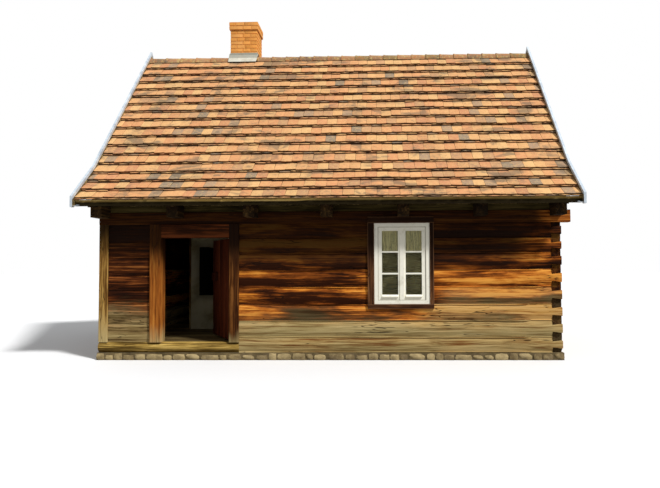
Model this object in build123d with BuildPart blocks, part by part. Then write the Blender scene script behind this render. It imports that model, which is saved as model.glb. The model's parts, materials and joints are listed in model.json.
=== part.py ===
"""Log cabin: squared logs on a fieldstone footing under a steep tiled roof with kicked eaves.

X runs along the front, Y to the back, Z up. The origin lies under the middle of the house,
on the ground. The front wall, with the door and the window, looks towards -Y.
"""

from build123d import *
import os
from math import cos, radians, sin, tan

os.makedirs("parts", exist_ok=True)

# House body, measured over the outer faces of the log walls
house_length = 7500
house_depth = 5200
wall_thickness = 160
fit_gap = 0.3
edge_wear = 12

# Footing of fieldstone
footing_height = 120
footing_width = 300
footing_projection = 30

# Courses of squared logs right of the door, from the footing up, and the plate on top
course_heights = [246, 266, 259, 276, 276, 276, 230, 251]
courses_below_window = 3
plate_height = 200
plate_overhang = 150

# Lapped log corners at the right: slope of the dovetail faces, and how far the ends stand back
dovetail_slope = 0.12
side_tail_recess = 45

# Round sill log under the bay left of the door and under the door
round_sill_diameter = 180
round_sill_height = 165

# Posts and planks of the left bay; the topmost plank fills what is left under the plate
corner_post_width = 150
bay_plank_heights = [310, 324, 214, 248, 281, 238]
bay_plank_thickness = 124
tongue_thickness = 45
tongue_length = 30
groove_depth = 36

# Doorway
door_post_depth = 200
bay_width = 694
left_post_width = 190
doorway_width = 1113
right_post_width = 160
lintel_bottom = 1981

# Door leaf and its fittings
leaf_thickness = 35
leaf_side_gap = 7
leaf_hinge_gap = 5
leaf_top_gap = 6
leaf_bottom_gap = 8
leaf_planks = 5
groove_size = 5
ledge_width = 110
ledge_thickness = 24
ledge_inset = 60
ledge_offset = 150
strap_inset = 240
strap_length = 640
strap_width = 46
strap_thickness = 6
eye_radius = 13
pin_radius = 7
pin_offset = 22
pin_height = 70
lock_width = 300
lock_height = 150
lock_thickness = 42
lock_inset = 45
lock_centre = 1330
door_angle = 60

# Window: fixed frame in the log wall, two closed sashes of three panes each
wall_before_window = 2195
window_width = 895
window_frame_member = 65
window_frame_depth = 120
window_frame_proud = 10
sash_thickness = 40
sash_setback = 14
sash_stile = 62
sash_bottom_rail = 88
glazing_bar = 26
glazing_bar_depth = 26
panes_per_sash = 3
glass_thickness = 4
glass_rebate = 9
cover_strip_width = 70
cover_strip_thickness = 12
drip_bar_height = 26
drip_bar_depth = 24
casing_left_width = 104
casing_right_width = 64
casing_below = 72
casing_thickness = 24
curtain_rod_radius = 6
curtain_rod_drop = 46
curtain_height = 390
curtain_thickness = 6

# Roof: the line of the tile surface, from the eaves edge over the kick to the ridge
eaves_lift = 74
eaves_overhang = 450
kick_pitch = 41
kick_run = 680
main_pitch = 49.5
verge_overhang = 190
tile_layer = 70
tile_gauge = 255
ridge_cover = 220
tile_butt = 22
second_tile_setback = 24
tile_sag = 20

# Roof timbers
beam_width = 180
beam_height = 200
beam_overhang = 300
inner_beams = 5
rafter_width = 120
rafter_depth = 140
batten_width = 50
batten_height = 40
sprocket_tip_height = 32
sprocket_heel = 40
eaves_board_height = 50
eaves_board_thickness = 22
infill_board_thickness = 30
gable_board_thickness = 25

# Verges: barge boards with a zinc capping
barge_thickness = 34
barge_rise = 66
barge_drop = 100
barge_reach = 50
barge_foot_height = 170
zinc = 2
zinc_outer_leg = 130

# Ridge tiles, half round
ridge_tile_radius = 138
ridge_tile_thickness = 14
ridge_tile_start_angle = 8
ridge_tile_pitch = 330
ridge_tile_joint = 1.5
ridge_opening = 30

# Floor and ceiling
floor_top = 260
floor_thickness = 35
joist_width = 110
joist_count = 11
ceiling_thickness = 30

# Hearth and chimney
stack_from_left = 1772
stack_width = 560
stack_depth = 520
stack_front = -25
stack_above_ridge = 541
flue_width = 270
cap_step = 24
cap_height = 171
hearth_width = 1870
hearth_front = -500
hearth_depth = 1100
hearth_base_top = 930
hearth_opening_top = 1890
hearth_wall = 165
hood_lip = 125
hearth_post_width = 42
hearth_post_depth = 60
flashing_sheet = 3
flashing_margin = 30
flashing_apron = 160
flashing_upstand = 30

# Heights and faces that follow from the sizes above
course_levels = [footing_height + sum(course_heights[:i]) for i in range(len(course_heights) + 1)]
plate_bottom = course_levels[-1]
plate_top = plate_bottom + plate_height
beam_bottom = (plate_bottom + plate_top) / 2
beam_top = beam_bottom + beam_height
half_length = house_length / 2
half_depth = house_depth / 2
inner_half_length = half_length - wall_thickness
inner_half_depth = half_depth - wall_thickness
eaves_y = half_depth + eaves_overhang
beam_end_y = half_depth + beam_overhang
left_wall_face = -half_length + corner_post_width
left_post_start = left_wall_face + bay_width
doorway_start = left_post_start + left_post_width
doorway_end = doorway_start + doorway_width
log_wall_start = doorway_end + right_post_width
window_start = log_wall_start + wall_before_window
window_end = window_start + window_width
round_sill_top = footing_height + round_sill_height
eaves_height = beam_top + eaves_lift
ridge_height = (
    eaves_height
    + kick_run * tan(radians(kick_pitch))
    + (eaves_y - kick_run) * tan(radians(main_pitch))
)
roof_length = house_length + 2 * verge_overhang
stack_x = -half_length + stack_from_left
stack_back = stack_front + stack_depth
stack_y = (stack_front + stack_back) / 2
hearth_left = stack_x - hearth_width / 2
hearth_right = stack_x + hearth_width / 2
stack_top = ridge_height + stack_above_ridge

# Planes across the four walls: a section drawn on one is drawn out along its wall
wall_middle_y = half_depth - wall_thickness / 2
wall_middle_x = half_length - wall_thickness / 2
round_sill_back = wall_middle_y - max(round_sill_diameter, wall_thickness) / 2
front_wall = Plane(origin=(0, -wall_middle_y, 0), x_dir=(0, 1, 0), z_dir=(1, 0, 0))
back_wall = Plane(origin=(0, wall_middle_y, 0), x_dir=(0, 1, 0), z_dir=(1, 0, 0))
left_wall = Plane(origin=(-wall_middle_x, 0, 0), x_dir=(-1, 0, 0), z_dir=(0, 1, 0))
right_wall = Plane(origin=(wall_middle_x, 0, 0), x_dir=(-1, 0, 0), z_dir=(0, 1, 0))


def block(x_from, x_to, y_from, y_to, z_from, z_to):
    """A plain squared solid between six faces."""
    with BuildPart() as piece:
        with BuildSketch(Plane.XY.offset(z_from)):
            with Locations(((x_from + x_to) / 2, (y_from + y_to) / 2)):
                Rectangle(x_to - x_from, y_to - y_from)
        extrude(amount=z_to - z_from)
    return piece.part


def squared_log(wall, start, end, bottom, top, thickness=wall_thickness, tongues=(0, 0)):
    """A hewn log along its wall, long edges worn off, with a tongue where it meets a post."""
    height = top - bottom - fit_gap
    with BuildPart() as log:
        with BuildSketch(wall.offset(start)) as section:
            with Locations((0, (bottom + top) / 2)):
                Rectangle(thickness, height)
            chamfer(section.vertices(), edge_wear)
        extrude(amount=end - start)
        if any(tongues):
            with BuildSketch(wall.offset(start - tongues[0])):
                with Locations((0, (bottom + top) / 2)):
                    Rectangle(tongue_thickness, height - 2 * edge_wear)
            extrude(amount=end - start + sum(tongues))
    return log.part


def contact_plane(toward, level, slope):
    """The sloping face between two tails in a right corner.

    A rising face (slope over 0) climbs outward along X and falls outward along Y, so that it
    is the top of a front or back tail. Toward is -1 at the front corner and 1 at the back.
    """
    centre = (wall_middle_x, toward * wall_middle_y, level)
    return Plane(origin=centre, z_dir=(-slope, slope * toward, 1))


def corner_tail(toward, bottom, top, bottom_slope, top_slope, of_side_log):
    """One dovetail in a right corner, between its lower and upper contact faces."""
    inner_x = inner_half_length + (fit_gap if of_side_log else 0)
    inner_y = inner_half_depth + (0 if of_side_log else fit_gap)
    outer_y = half_depth - (side_tail_recess if of_side_log else 0)
    y_faces = sorted((toward * inner_y, toward * outer_y))
    blank = block(
        inner_x, half_length, *y_faces, bottom - wall_thickness, top + wall_thickness
    )
    with BuildPart() as tail:
        add(blank)
        split(bisect_by=contact_plane(toward, top - fit_gap / 2, top_slope), keep=Keep.BOTTOM)
        split(bisect_by=contact_plane(toward, bottom + fit_gap / 2, bottom_slope), keep=Keep.TOP)
    return tail.part


def long_log(wall, toward, start, course, tongues=(0, 0)):
    """A front or back log that ends in a dovetail tail in the right corner."""
    bottom, top = course_levels[course], course_levels[course + 1]
    quarter = (top - bottom) / 4
    with BuildPart() as log:
        add(squared_log(wall, start, inner_half_length, bottom, top, tongues=tongues))
        add(corner_tail(
            toward, bottom + quarter, top - quarter, -dovetail_slope, dovetail_slope, False
        ))
    return log.part


def right_wall_log(step):
    """A log of the right wall: half a course higher than the front logs, a tail at each end."""
    middles = [(low + high) / 2 for low, high in zip(course_levels, course_levels[1:])]
    faces = [footing_height] + middles + [beam_bottom]
    if step == 0:
        tail_bottom, bottom_slope = footing_height, 0
    else:
        tail_bottom = course_levels[step] - course_heights[step - 1] / 4
        bottom_slope = dovetail_slope
    if step == len(course_heights):
        tail_top, top_slope = plate_bottom, 0
    else:
        tail_top = course_levels[step] + course_heights[step] / 4
        top_slope = -dovetail_slope
    with BuildPart() as log:
        add(squared_log(
            right_wall, -inner_half_depth, inner_half_depth, faces[step], faces[step + 1]
        ))
        for toward in (-1, 1):
            add(corner_tail(toward, tail_bottom, tail_top, bottom_slope, top_slope, True))
    return log.part


def main_line(y, drop):
    """Height of the main slope at a distance from the ridge, a drop below the tile surface."""
    return ridge_height - y * tan(radians(main_pitch)) - drop / cos(radians(main_pitch))


def kick_line(y, drop):
    """Height of the flatter eaves slope, a drop below the tile surface."""
    rise = (eaves_y - y) * tan(radians(kick_pitch))
    return eaves_height + rise - drop / cos(radians(kick_pitch))


def main_y(height, drop):
    """Distance from the ridge at which the main slope reaches a height."""
    return (main_line(0, drop) - height) / tan(radians(main_pitch))


def kink(drop):
    """The point where both slopes meet, a drop below the tile surface."""
    y = (main_line(0, drop) - kick_line(0, drop)) / (
        tan(radians(main_pitch)) - tan(radians(kick_pitch))
    )
    return (y, main_line(y, drop))


def roof_band(x_from, x_to, points):
    """A solid with one outline across the front half of the roof, drawn out along X."""
    with BuildPart() as band:
        with BuildSketch(Plane.YZ.offset(x_from)):
            with BuildLine():
                Polyline([(-y, z) for y, z in points], close=True)
            make_face()
        extrude(amount=x_to - x_from)
    return band.part


def to_back(piece):
    """The same piece on the back half of the house."""
    return piece.mirror(Plane.XZ)


def to_left(piece):
    """The same piece on the left half of the house."""
    return piece.mirror(Plane.YZ)


# Footing: four strips of fieldstone masonry under the walls
footing_outer_x = half_length + footing_projection
footing_outer_y = half_depth + footing_projection
footing_inner_x = footing_outer_x - footing_width
footing_inner_y = footing_outer_y - footing_width

with BuildPart() as footing:
    front_strip = block(
        -footing_outer_x, footing_outer_x, -footing_outer_y, -footing_inner_y, 0, footing_height
    )
    right_strip = block(
        footing_inner_x, footing_outer_x,
        -footing_inner_y + fit_gap, footing_inner_y - fit_gap, 0, footing_height
    )
    add([front_strip, to_back(front_strip), right_strip, to_left(right_strip)])
footing.part.label = "footing"
export_step(footing.part, "parts/footing.step")

# Round sill log, hewn flat below and on top, where the posts, planks and feet bear on it
with BuildPart() as sill_log_round:
    with BuildSketch(front_wall.offset(-half_length)):
        with Locations((0, footing_height + round_sill_height / 2)):
            Circle(round_sill_diameter / 2)
            Rectangle(
                round_sill_diameter, round_sill_height - 2 * fit_gap, mode=Mode.INTERSECT
            )
    extrude(amount=log_wall_start - fit_gap + half_length)
sill_log_round.part.label = "sill_log_round"
export_step(sill_log_round.part, "parts/sill_log_round.step")

# Front wall right of the door: full logs below the window, short ones beside it
wall_courses = range(len(course_heights))
log_start = log_wall_start + fit_gap
post_tongue = (tongue_length, 0)

with BuildPart() as front_lower_logs:
    add([
        long_log(front_wall, -1, log_start, course, post_tongue if course else (0, 0))
        for course in range(courses_below_window)
    ])
front_lower_logs.part.label = "front_lower_logs"
export_step(front_lower_logs.part, "parts/front_lower_logs.step")

with BuildPart() as front_middle_logs:
    add([
        squared_log(
            front_wall, log_start, window_start - fit_gap,
            course_levels[course], course_levels[course + 1], tongues=post_tongue
        )
        for course in wall_courses[courses_below_window:]
    ])
front_middle_logs.part.label = "front_middle_logs"
export_step(front_middle_logs.part, "parts/front_middle_logs.step")

with BuildPart() as front_right_logs:
    add([
        long_log(front_wall, -1, window_end + fit_gap, course)
        for course in wall_courses[courses_below_window:]
    ])
front_right_logs.part.label = "front_right_logs"
export_step(front_right_logs.part, "parts/front_right_logs.step")

# Back wall: the same courses from the left corner post to the right corner
with BuildPart() as back_wall_logs:
    add([
        long_log(back_wall, 1, left_wall_face + fit_gap, course, post_tongue)
        for course in wall_courses
    ])
back_wall_logs.part.label = "back_wall_logs"
export_step(back_wall_logs.part, "parts/back_wall_logs.step")

# Right wall, half a course higher, locked into the front and back logs
with BuildPart() as right_wall_logs:
    add([right_wall_log(step) for step in range(len(course_heights) + 1)])
right_wall_logs.part.label = "right_wall_logs"
export_step(right_wall_logs.part, "parts/right_wall_logs.step")

# Left wall: the same courses between the two corner posts, and a thin log up to the end beam
left_levels = course_levels + [beam_bottom]

def left_wall_log(low, high):
    """A log between the corner posts; the lowest butts against the round sill log."""
    start, tongues = -inner_half_depth + fit_gap, [tongue_length, tongue_length]
    if low < round_sill_top:
        start, tongues[0] = -round_sill_back + fit_gap, 0
    if high > plate_bottom:
        tongues = [0, 0]
    return squared_log(left_wall, start, inner_half_depth - fit_gap, low, high, tongues=tongues)


with BuildPart() as left_wall_logs:
    add([left_wall_log(low, high) for low, high in zip(left_levels, left_levels[1:])])
left_wall_logs.part.label = "left_wall_logs"
export_step(left_wall_logs.part, "parts/left_wall_logs.step")

# Wall plates, running through over the posts, with their ends out under the right verge
with BuildPart() as wall_plates:
    add([
        squared_log(
            wall, -half_length, half_length + plate_overhang, plate_bottom, plate_top
        )
        for wall in (front_wall, back_wall)
    ])
wall_plates.part.label = "wall_plates"
export_step(wall_plates.part, "parts/wall_plates.step")


def corner_post(toward, bottom):
    """A left corner post with a groove for the planks of each wall that meets it."""
    groove = tongue_thickness + 2 * fit_gap
    y_faces = sorted((toward * inner_half_depth, toward * half_depth))
    with BuildPart() as post:
        add(block(
            -half_length, left_wall_face, *y_faces, bottom + fit_gap, plate_bottom - fit_gap
        ))
        chamfer(post.edges().filter_by(Axis.Z), edge_wear / 2)
        add(block(
            left_wall_face - groove_depth, left_wall_face,
            toward * wall_middle_y - groove / 2, toward * wall_middle_y + groove / 2,
            bottom, plate_bottom
        ), mode=Mode.SUBTRACT)
        groove_faces = sorted((toward * inner_half_depth, toward * (inner_half_depth + groove_depth)))
        add(block(
            -wall_middle_x - groove / 2, -wall_middle_x + groove / 2, *groove_faces,
            bottom, plate_bottom
        ), mode=Mode.SUBTRACT)
    return post.part


with BuildPart() as corner_posts:
    add([corner_post(-1, round_sill_top), corner_post(1, footing_height)])
    add(block(
        hearth_left - fit_gap - hearth_post_width, hearth_left - fit_gap,
        hearth_front, hearth_front + hearth_post_depth,
        floor_top + fit_gap, beam_top - fit_gap
    ))
corner_posts.part.label = "corner_posts"
export_step(corner_posts.part, "parts/corner_posts.step")

# Planks of the bay left of the door, set into the grooves of both posts
bay_levels = [round_sill_top + sum(bay_plank_heights[:i]) for i in range(len(bay_plank_heights) + 1)]
bay_levels.append(plate_bottom)

with BuildPart() as front_bay_planks:
    add([
        squared_log(
            front_wall, left_wall_face + fit_gap, left_post_start - fit_gap, low, high,
            thickness=bay_plank_thickness, tongues=(tongue_length, tongue_length)
        )
        for low, high in zip(bay_levels, bay_levels[1:])
    ])
front_bay_planks.part.label = "front_bay_planks"
export_step(front_bay_planks.part, "parts/front_bay_planks.step")


def door_post(x_from, x_to, grooved_side):
    """A door post up to the plate, grooved for its wall and mortised for the lintel."""
    groove = tongue_thickness + 2 * fit_gap
    left_cut, right_cut = (x_from, x_from + groove_depth), (x_to - groove_depth, x_to)
    groove_x, mortise_x = (left_cut, right_cut) if grooved_side == x_from else (right_cut, left_cut)
    with BuildPart() as post:
        add(block(
            x_from, x_to, -wall_middle_y - door_post_depth / 2, -wall_middle_y + door_post_depth / 2,
            round_sill_top + fit_gap, plate_bottom - fit_gap
        ))
        chamfer(post.edges().filter_by(Axis.Z), edge_wear / 2)
        add(block(
            *groove_x, -wall_middle_y - groove / 2, -wall_middle_y + groove / 2,
            round_sill_top, plate_bottom
        ), mode=Mode.SUBTRACT)
        add(block(
            *mortise_x, -wall_middle_y - groove / 2, -wall_middle_y + groove / 2,
            lintel_bottom, plate_bottom
        ), mode=Mode.SUBTRACT)
    return post.part


with BuildPart() as door_post_left:
    add(door_post(left_post_start, doorway_start, left_post_start))
door_post_left.part.label = "door_post_left"
export_step(door_post_left.part, "parts/door_post_left.step")

with BuildPart() as door_post_right:
    add(door_post(doorway_end, log_wall_start, log_wall_start))
door_post_right.part.label = "door_post_right"
export_step(door_post_right.part, "parts/door_post_right.step")

# Lintel between the posts, its tenons in their mortises
with BuildPart() as door_lintel:
    with BuildSketch(front_wall.offset(doorway_start + fit_gap)) as lintel_section:
        with Locations((0, (lintel_bottom + plate_bottom) / 2)):
            Rectangle(door_post_depth, plate_bottom - lintel_bottom - 2 * fit_gap)
        chamfer(lintel_section.vertices(), edge_wear)
    extrude(amount=doorway_width - 2 * fit_gap)
    add(block(
        doorway_start - tongue_length, doorway_end + tongue_length,
        -wall_middle_y - tongue_thickness / 2, -wall_middle_y + tongue_thickness / 2,
        lintel_bottom + fit_gap, plate_bottom - fit_gap
    ))
door_lintel.part.label = "door_lintel"
export_step(door_lintel.part, "parts/door_lintel.step")

# Tie beams across the house: they lock over both plates and their ends carry the eaves
end_beam_x = half_length - beam_width / 2
beam_pitch = 2 * end_beam_x / (inner_beams + 1)
beam_places = [-end_beam_x + i * beam_pitch for i in range(inner_beams + 2)]

with BuildPart() as tie_beams:
    for beam_x in beam_places:
        add(block(
            beam_x - beam_width / 2, beam_x + beam_width / 2, -beam_end_y, beam_end_y,
            beam_bottom + fit_gap, beam_top
        ))
    for toward in (-1, 1):
        notch_y = toward * wall_middle_y
        add(block(
            -house_length, house_length,
            notch_y - wall_thickness / 2 - fit_gap, notch_y + wall_thickness / 2 + fit_gap,
            beam_bottom, plate_top + fit_gap
        ), mode=Mode.SUBTRACT)
tie_beams.part.label = "tie_beams"
export_step(tie_beams.part, "parts/tie_beams.step")

# Boards that close the gaps between the beam ends, on top of the plates
with BuildPart() as infill_boards:
    for left_beam, right_beam in zip(beam_places, beam_places[1:]):
        board = block(
            left_beam + beam_width / 2 + fit_gap, right_beam - beam_width / 2 - fit_gap,
            -half_depth + edge_wear, -half_depth + edge_wear + infill_board_thickness,
            plate_top + fit_gap, beam_top - fit_gap
        )
        add([board, to_back(board)])
infill_boards.part.label = "infill_boards"
export_step(infill_boards.part, "parts/infill_boards.step")

# Rafters: each stands on its beam, with a wedge-shaped sprocket that kicks the eaves out
rafter_drop = tile_layer + batten_height + 2 * fit_gap
foot_level = beam_top + fit_gap
foot_outer = main_y(foot_level, rafter_drop)
sprocket_tip = (
    eaves_y - batten_width / 2 * cos(radians(kick_pitch)) - tile_layer * sin(radians(kick_pitch))
)
kink_y, kink_z = kink(rafter_drop)
rafter_outline = [
    (fit_gap / 2, main_line(fit_gap / 2, rafter_drop)),
    (foot_outer, foot_level),
    (main_y(foot_level, rafter_drop + rafter_depth), foot_level),
    (fit_gap / 2, main_line(fit_gap / 2, rafter_drop + rafter_depth)),
]
sprocket_outline = [
    (kink_y + 1, kick_line(kink_y + 1, rafter_drop)),
    (sprocket_tip, kick_line(sprocket_tip, rafter_drop)),
    (sprocket_tip, kick_line(sprocket_tip, rafter_drop) - sprocket_tip_height),
    (beam_end_y + fit_gap, beam_top - sprocket_heel),
    (beam_end_y + fit_gap, foot_level),
    (main_y(foot_level, rafter_drop - fit_gap), foot_level),
    (kink_y + 1, main_line(kink_y + 1, rafter_drop - fit_gap / 2)),
]
end_rafter_x = half_length - rafter_width / 2
rafter_places = [-end_rafter_x] + beam_places[1:-1] + [end_rafter_x]

with BuildPart() as rafters:
    for rafter_x in rafter_places:
        for outline in (rafter_outline, sprocket_outline):
            timber = roof_band(rafter_x - rafter_width / 2, rafter_x + rafter_width / 2, outline)
            add([timber, to_back(timber)])
rafters.part.label = "rafters"
export_step(rafters.part, "parts/rafters.step")

# The roof surface is measured along the slope from the eaves edge
kick_length = kick_run / cos(radians(kick_pitch))
slope_length = kick_length + (eaves_y - kick_run) / cos(radians(main_pitch))
tile_courses = round((slope_length - ridge_cover) / tile_gauge)
gauge = (slope_length - ridge_cover) / tile_courses


def roof_point(distance, drop):
    """The point at a distance up the slope from the eaves edge, a drop below the surface."""
    if distance < kick_length:
        pitch, along = radians(kick_pitch), distance
        y, z = eaves_y, eaves_height
    else:
        pitch, along = radians(main_pitch), distance - kick_length
        y, z = kink(0)
    y, z = y - along * cos(pitch), z + along * sin(pitch)
    return (y - drop * sin(pitch), z - drop * cos(pitch))


def slope_pitch(distance):
    """The pitch of the roof at a distance up the slope."""
    return kick_pitch if distance < kick_length else main_pitch


# Battens, one for each course of tiles; the stack passes between two rafters
half_roof = roof_length / 2
stack_left = stack_x - stack_width / 2
stack_right = stack_x + stack_width / 2
batten_middle = tile_layer + fit_gap + batten_height / 2
stack_hole = block(
    stack_left - fit_gap, stack_right + fit_gap,
    stack_front - fit_gap, stack_back + fit_gap, beam_top, stack_top
)

with BuildPart() as battens:
    with BuildSketch(Plane.YZ.offset(-half_roof)):
        for course in range(tile_courses):
            place = course * gauge + batten_width
            batten_y, batten_z = roof_point(place, batten_middle)
            with Locations((-batten_y, batten_z)):
                Rectangle(batten_width, batten_height, rotation=slope_pitch(place))
            with Locations((batten_y, batten_z)):
                Rectangle(batten_width, batten_height, rotation=-slope_pitch(place))
    extrude(amount=roof_length)
    add(stack_hole, mode=Mode.SUBTRACT)
battens.part.label = "battens"
export_step(battens.part, "parts/battens.step")

# Tile covering: plain tiles laid double on every batten, so each course shows two butts
tile_outline = [roof_point(0, tile_layer)]
for course in range(tile_courses):
    butt = course * gauge
    tile_outline += [
        roof_point(butt, tile_sag),
        roof_point(butt, tile_sag - tile_butt),
        roof_point(butt + second_tile_setback, tile_sag - tile_butt),
        roof_point(butt + second_tile_setback, tile_sag - 2 * tile_butt),
    ]
tile_outline += [
    (ridge_opening, main_line(ridge_opening, tile_sag)),
    (ridge_opening, main_line(ridge_opening, tile_layer)),
    kink(tile_layer),
]
del tile_outline[1]

with BuildPart() as roof_tiles_front:
    add(roof_band(-half_roof, half_roof, tile_outline))
    add(stack_hole, mode=Mode.SUBTRACT)
roof_tiles_front.part.label = "roof_tiles_front"
export_step(roof_tiles_front.part, "parts/roof_tiles_front.step")

with BuildPart() as roof_tiles_back:
    add(to_back(roof_tiles_front.part))
    add(stack_hole, mode=Mode.SUBTRACT)
roof_tiles_back.part.label = "roof_tiles_back"
export_step(roof_tiles_back.part, "parts/roof_tiles_back.step")

# Ridge tiles: half round, their lower edges on the top courses of both slopes
top_butt = tile_sag - 2 * tile_butt
ridge_inner_radius = ridge_tile_radius - ridge_tile_thickness
ridge_edge_y = ridge_inner_radius * cos(radians(ridge_tile_start_angle))
butt_y, butt_z = roof_point((tile_courses - 1) * gauge + second_tile_setback, top_butt)
edge_share = (butt_y - ridge_edge_y) / (butt_y - ridge_opening)
edge_z = butt_z + edge_share * (main_line(ridge_opening, tile_sag) - butt_z)
ridge_axis_z = edge_z - ridge_inner_radius * sin(radians(ridge_tile_start_angle)) + 2 * fit_gap


def ridge_run(x_from, x_to):
    """A row of ridge tiles between two places on the ridge."""
    count = round((x_to - x_from) / ridge_tile_pitch)
    step = (x_to - x_from) / count
    with BuildPart() as row:
        for i in range(count):
            with BuildSketch(Plane.YZ.offset(x_from + i * step + ridge_tile_joint / 2)):
                with Locations((0, ridge_axis_z)):
                    Circle(ridge_tile_radius)
                    Circle(ridge_inner_radius, mode=Mode.SUBTRACT)
                    with Locations((0, -ridge_tile_radius + ridge_inner_radius
                                    * sin(radians(ridge_tile_start_angle)))):
                        Rectangle(
                            2 * ridge_tile_radius, 2 * ridge_tile_radius, mode=Mode.SUBTRACT
                        )
            extrude(amount=step - ridge_tile_joint)
    return row.part


ridge_gap = flashing_margin + fit_gap
ridge_end = half_roof - zinc - fit_gap

with BuildPart() as ridge_tiles:
    add(ridge_run(-ridge_end, stack_left - ridge_gap))
    add(ridge_run(stack_right + ridge_gap, ridge_end))
ridge_tiles.part.label = "ridge_tiles"
export_step(ridge_tiles.part, "parts/ridge_tiles.step")

# Barge boards: they follow the kick, and end in a short plumb cut at the eaves
barge_end_y = eaves_y + barge_reach


def barge_outline(top_drop, bottom_drop, end_y, foot_height):
    """The outline of a band along the verge, from the ridge to the plumb cut of its foot."""
    foot_top = kick_line(end_y, top_drop)
    foot_bottom = foot_top - foot_height
    band_bottom_y = eaves_y - (foot_bottom - kick_line(eaves_y, bottom_drop)) / tan(radians(kick_pitch))
    points = [
        (fit_gap / 2, main_line(fit_gap / 2, top_drop)),
        kink(top_drop),
        (end_y, foot_top),
    ]
    if band_bottom_y < end_y:
        points += [(end_y, foot_bottom), (band_bottom_y, foot_bottom)]
    else:
        points += [(end_y, kick_line(end_y, bottom_drop))]
    return points + [kink(bottom_drop), (fit_gap / 2, main_line(fit_gap / 2, bottom_drop))]


barge_inner_x = half_roof + fit_gap
barge_outer_x = barge_inner_x + barge_thickness

with BuildPart() as barge_boards:
    barge_front = roof_band(
        barge_inner_x, barge_outer_x,
        barge_outline(-barge_rise, barge_drop, barge_end_y, barge_foot_height)
    )
    barge_back = to_back(barge_front)
    add([barge_front, barge_back, to_left(barge_front), to_left(barge_back)])
barge_boards.part.label = "barge_boards"
export_step(barge_boards.part, "parts/barge_boards.step")

# Zinc capping folded over each barge board: a short inner leg above the tiles, a top, and a
# long outer leg that also turns round the foot
zinc_top = -barge_rise - fit_gap
inner_leg_drop = top_butt - fit_gap


def zinc_capping():
    """One folded capping over the front leg of the right barge board."""
    with BuildPart() as capping:
        add(roof_band(
            barge_outer_x + fit_gap, barge_outer_x + fit_gap + zinc,
            barge_outline(
                zinc_top - zinc, zinc_outer_leg - barge_rise, barge_end_y + zinc + fit_gap,
                barge_foot_height
            )
        ))
        add(roof_band(
            barge_inner_x - zinc - fit_gap, barge_outer_x + fit_gap + zinc,
            barge_outline(
                zinc_top - zinc, zinc_top, barge_end_y + zinc + fit_gap, barge_foot_height
            )
        ))
        add(roof_band(
            barge_inner_x - zinc - fit_gap, barge_inner_x - fit_gap,
            barge_outline(
                zinc_top - zinc, inner_leg_drop, barge_end_y + zinc + fit_gap, barge_foot_height
            )
        ))
        add(block(
            barge_inner_x - zinc - fit_gap, barge_outer_x + fit_gap + zinc,
            -barge_end_y - zinc - fit_gap, -barge_end_y - fit_gap,
            kick_line(barge_end_y + fit_gap, zinc_top) - barge_foot_height,
            kick_line(barge_end_y + fit_gap, zinc_top)
        ))
    return capping.part


with BuildPart() as verge_zinc:
    zinc_front = zinc_capping()
    zinc_back = to_back(zinc_front)
    add([zinc_front, zinc_back, to_left(zinc_front), to_left(zinc_back)])
verge_zinc.part.label = "verge_zinc"
export_step(verge_zinc.part, "parts/verge_zinc.step")

# Gable boards: a panel of upright boards on the end frame, up to the battens
gable_drop = rafter_drop
gable_bottom = plate_top + fit_gap
gable_half = half_depth
gable_outline = [
    (0, gable_bottom),
    (gable_half, gable_bottom),
    (gable_half, kick_line(gable_half, gable_drop)),
    kink(gable_drop),
    (0, main_line(0, gable_drop)),
]

with BuildPart() as gable_boards:
    half_gable = roof_band(
        half_length + fit_gap, half_length + fit_gap + gable_board_thickness, gable_outline
    )
    add([half_gable, to_back(half_gable), to_left(half_gable), to_left(to_back(half_gable))])
gable_boards.part.label = "gable_boards"
export_step(gable_boards.part, "parts/gable_boards.step")

# Eaves boards on the tips of the sprockets, up to the tiles in front of the lowest batten
eaves_board_y = sprocket_tip + fit_gap
eaves_board_top = kick_line(eaves_board_y + eaves_board_thickness, tile_layer) - fit_gap

with BuildPart() as eaves_boards:
    front_board = block(
        -half_length, half_length,
        -eaves_board_y - eaves_board_thickness, -eaves_board_y,
        eaves_board_top - eaves_board_height, eaves_board_top
    )
    add([front_board, to_back(front_board)])
eaves_boards.part.label = "eaves_boards"
export_step(eaves_boards.part, "parts/eaves_boards.step")

# Hearth: base, walls round the fire, and a hood that narrows to the flue
hearth_back = hearth_front + hearth_depth
hearth_y = (hearth_front + hearth_back) / 2

with BuildPart() as hearth_base:
    add(block(hearth_left, hearth_right, hearth_front, hearth_back, 0, hearth_base_top))
hearth_base.part.label = "hearth_base"
export_step(hearth_base.part, "parts/hearth_base.step")

with BuildPart() as hearth_walls:
    add(block(
        hearth_left, hearth_right, hearth_front, hearth_back,
        hearth_base_top + fit_gap, hearth_opening_top
    ))
    add(block(
        hearth_left + hearth_wall, hearth_right - hearth_wall,
        hearth_front, hearth_back - hearth_wall, hearth_base_top, hearth_opening_top
    ), mode=Mode.SUBTRACT)
hearth_walls.part.label = "hearth_walls"
export_step(hearth_walls.part, "parts/hearth_walls.step")

with BuildPart() as hearth_hood:
    hood_bottom = hearth_opening_top + fit_gap
    hood_top = beam_bottom
    add(block(hearth_left, hearth_right, hearth_front, hearth_back, hood_bottom, hood_top))
    with BuildSketch(Plane.XY.offset(hood_bottom)):
        with Locations((stack_x, hearth_y + (hood_lip - hearth_wall) / 2)):
            Rectangle(hearth_width - 2 * hearth_wall, hearth_depth - hearth_wall - hood_lip)
    with BuildSketch(Plane.XY.offset(hood_top)):
        with Locations((stack_x, stack_y)):
            Rectangle(flue_width, flue_width)
    loft(mode=Mode.SUBTRACT)
hearth_hood.part.label = "hearth_hood"
export_step(hearth_hood.part, "parts/hearth_hood.step")

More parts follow.
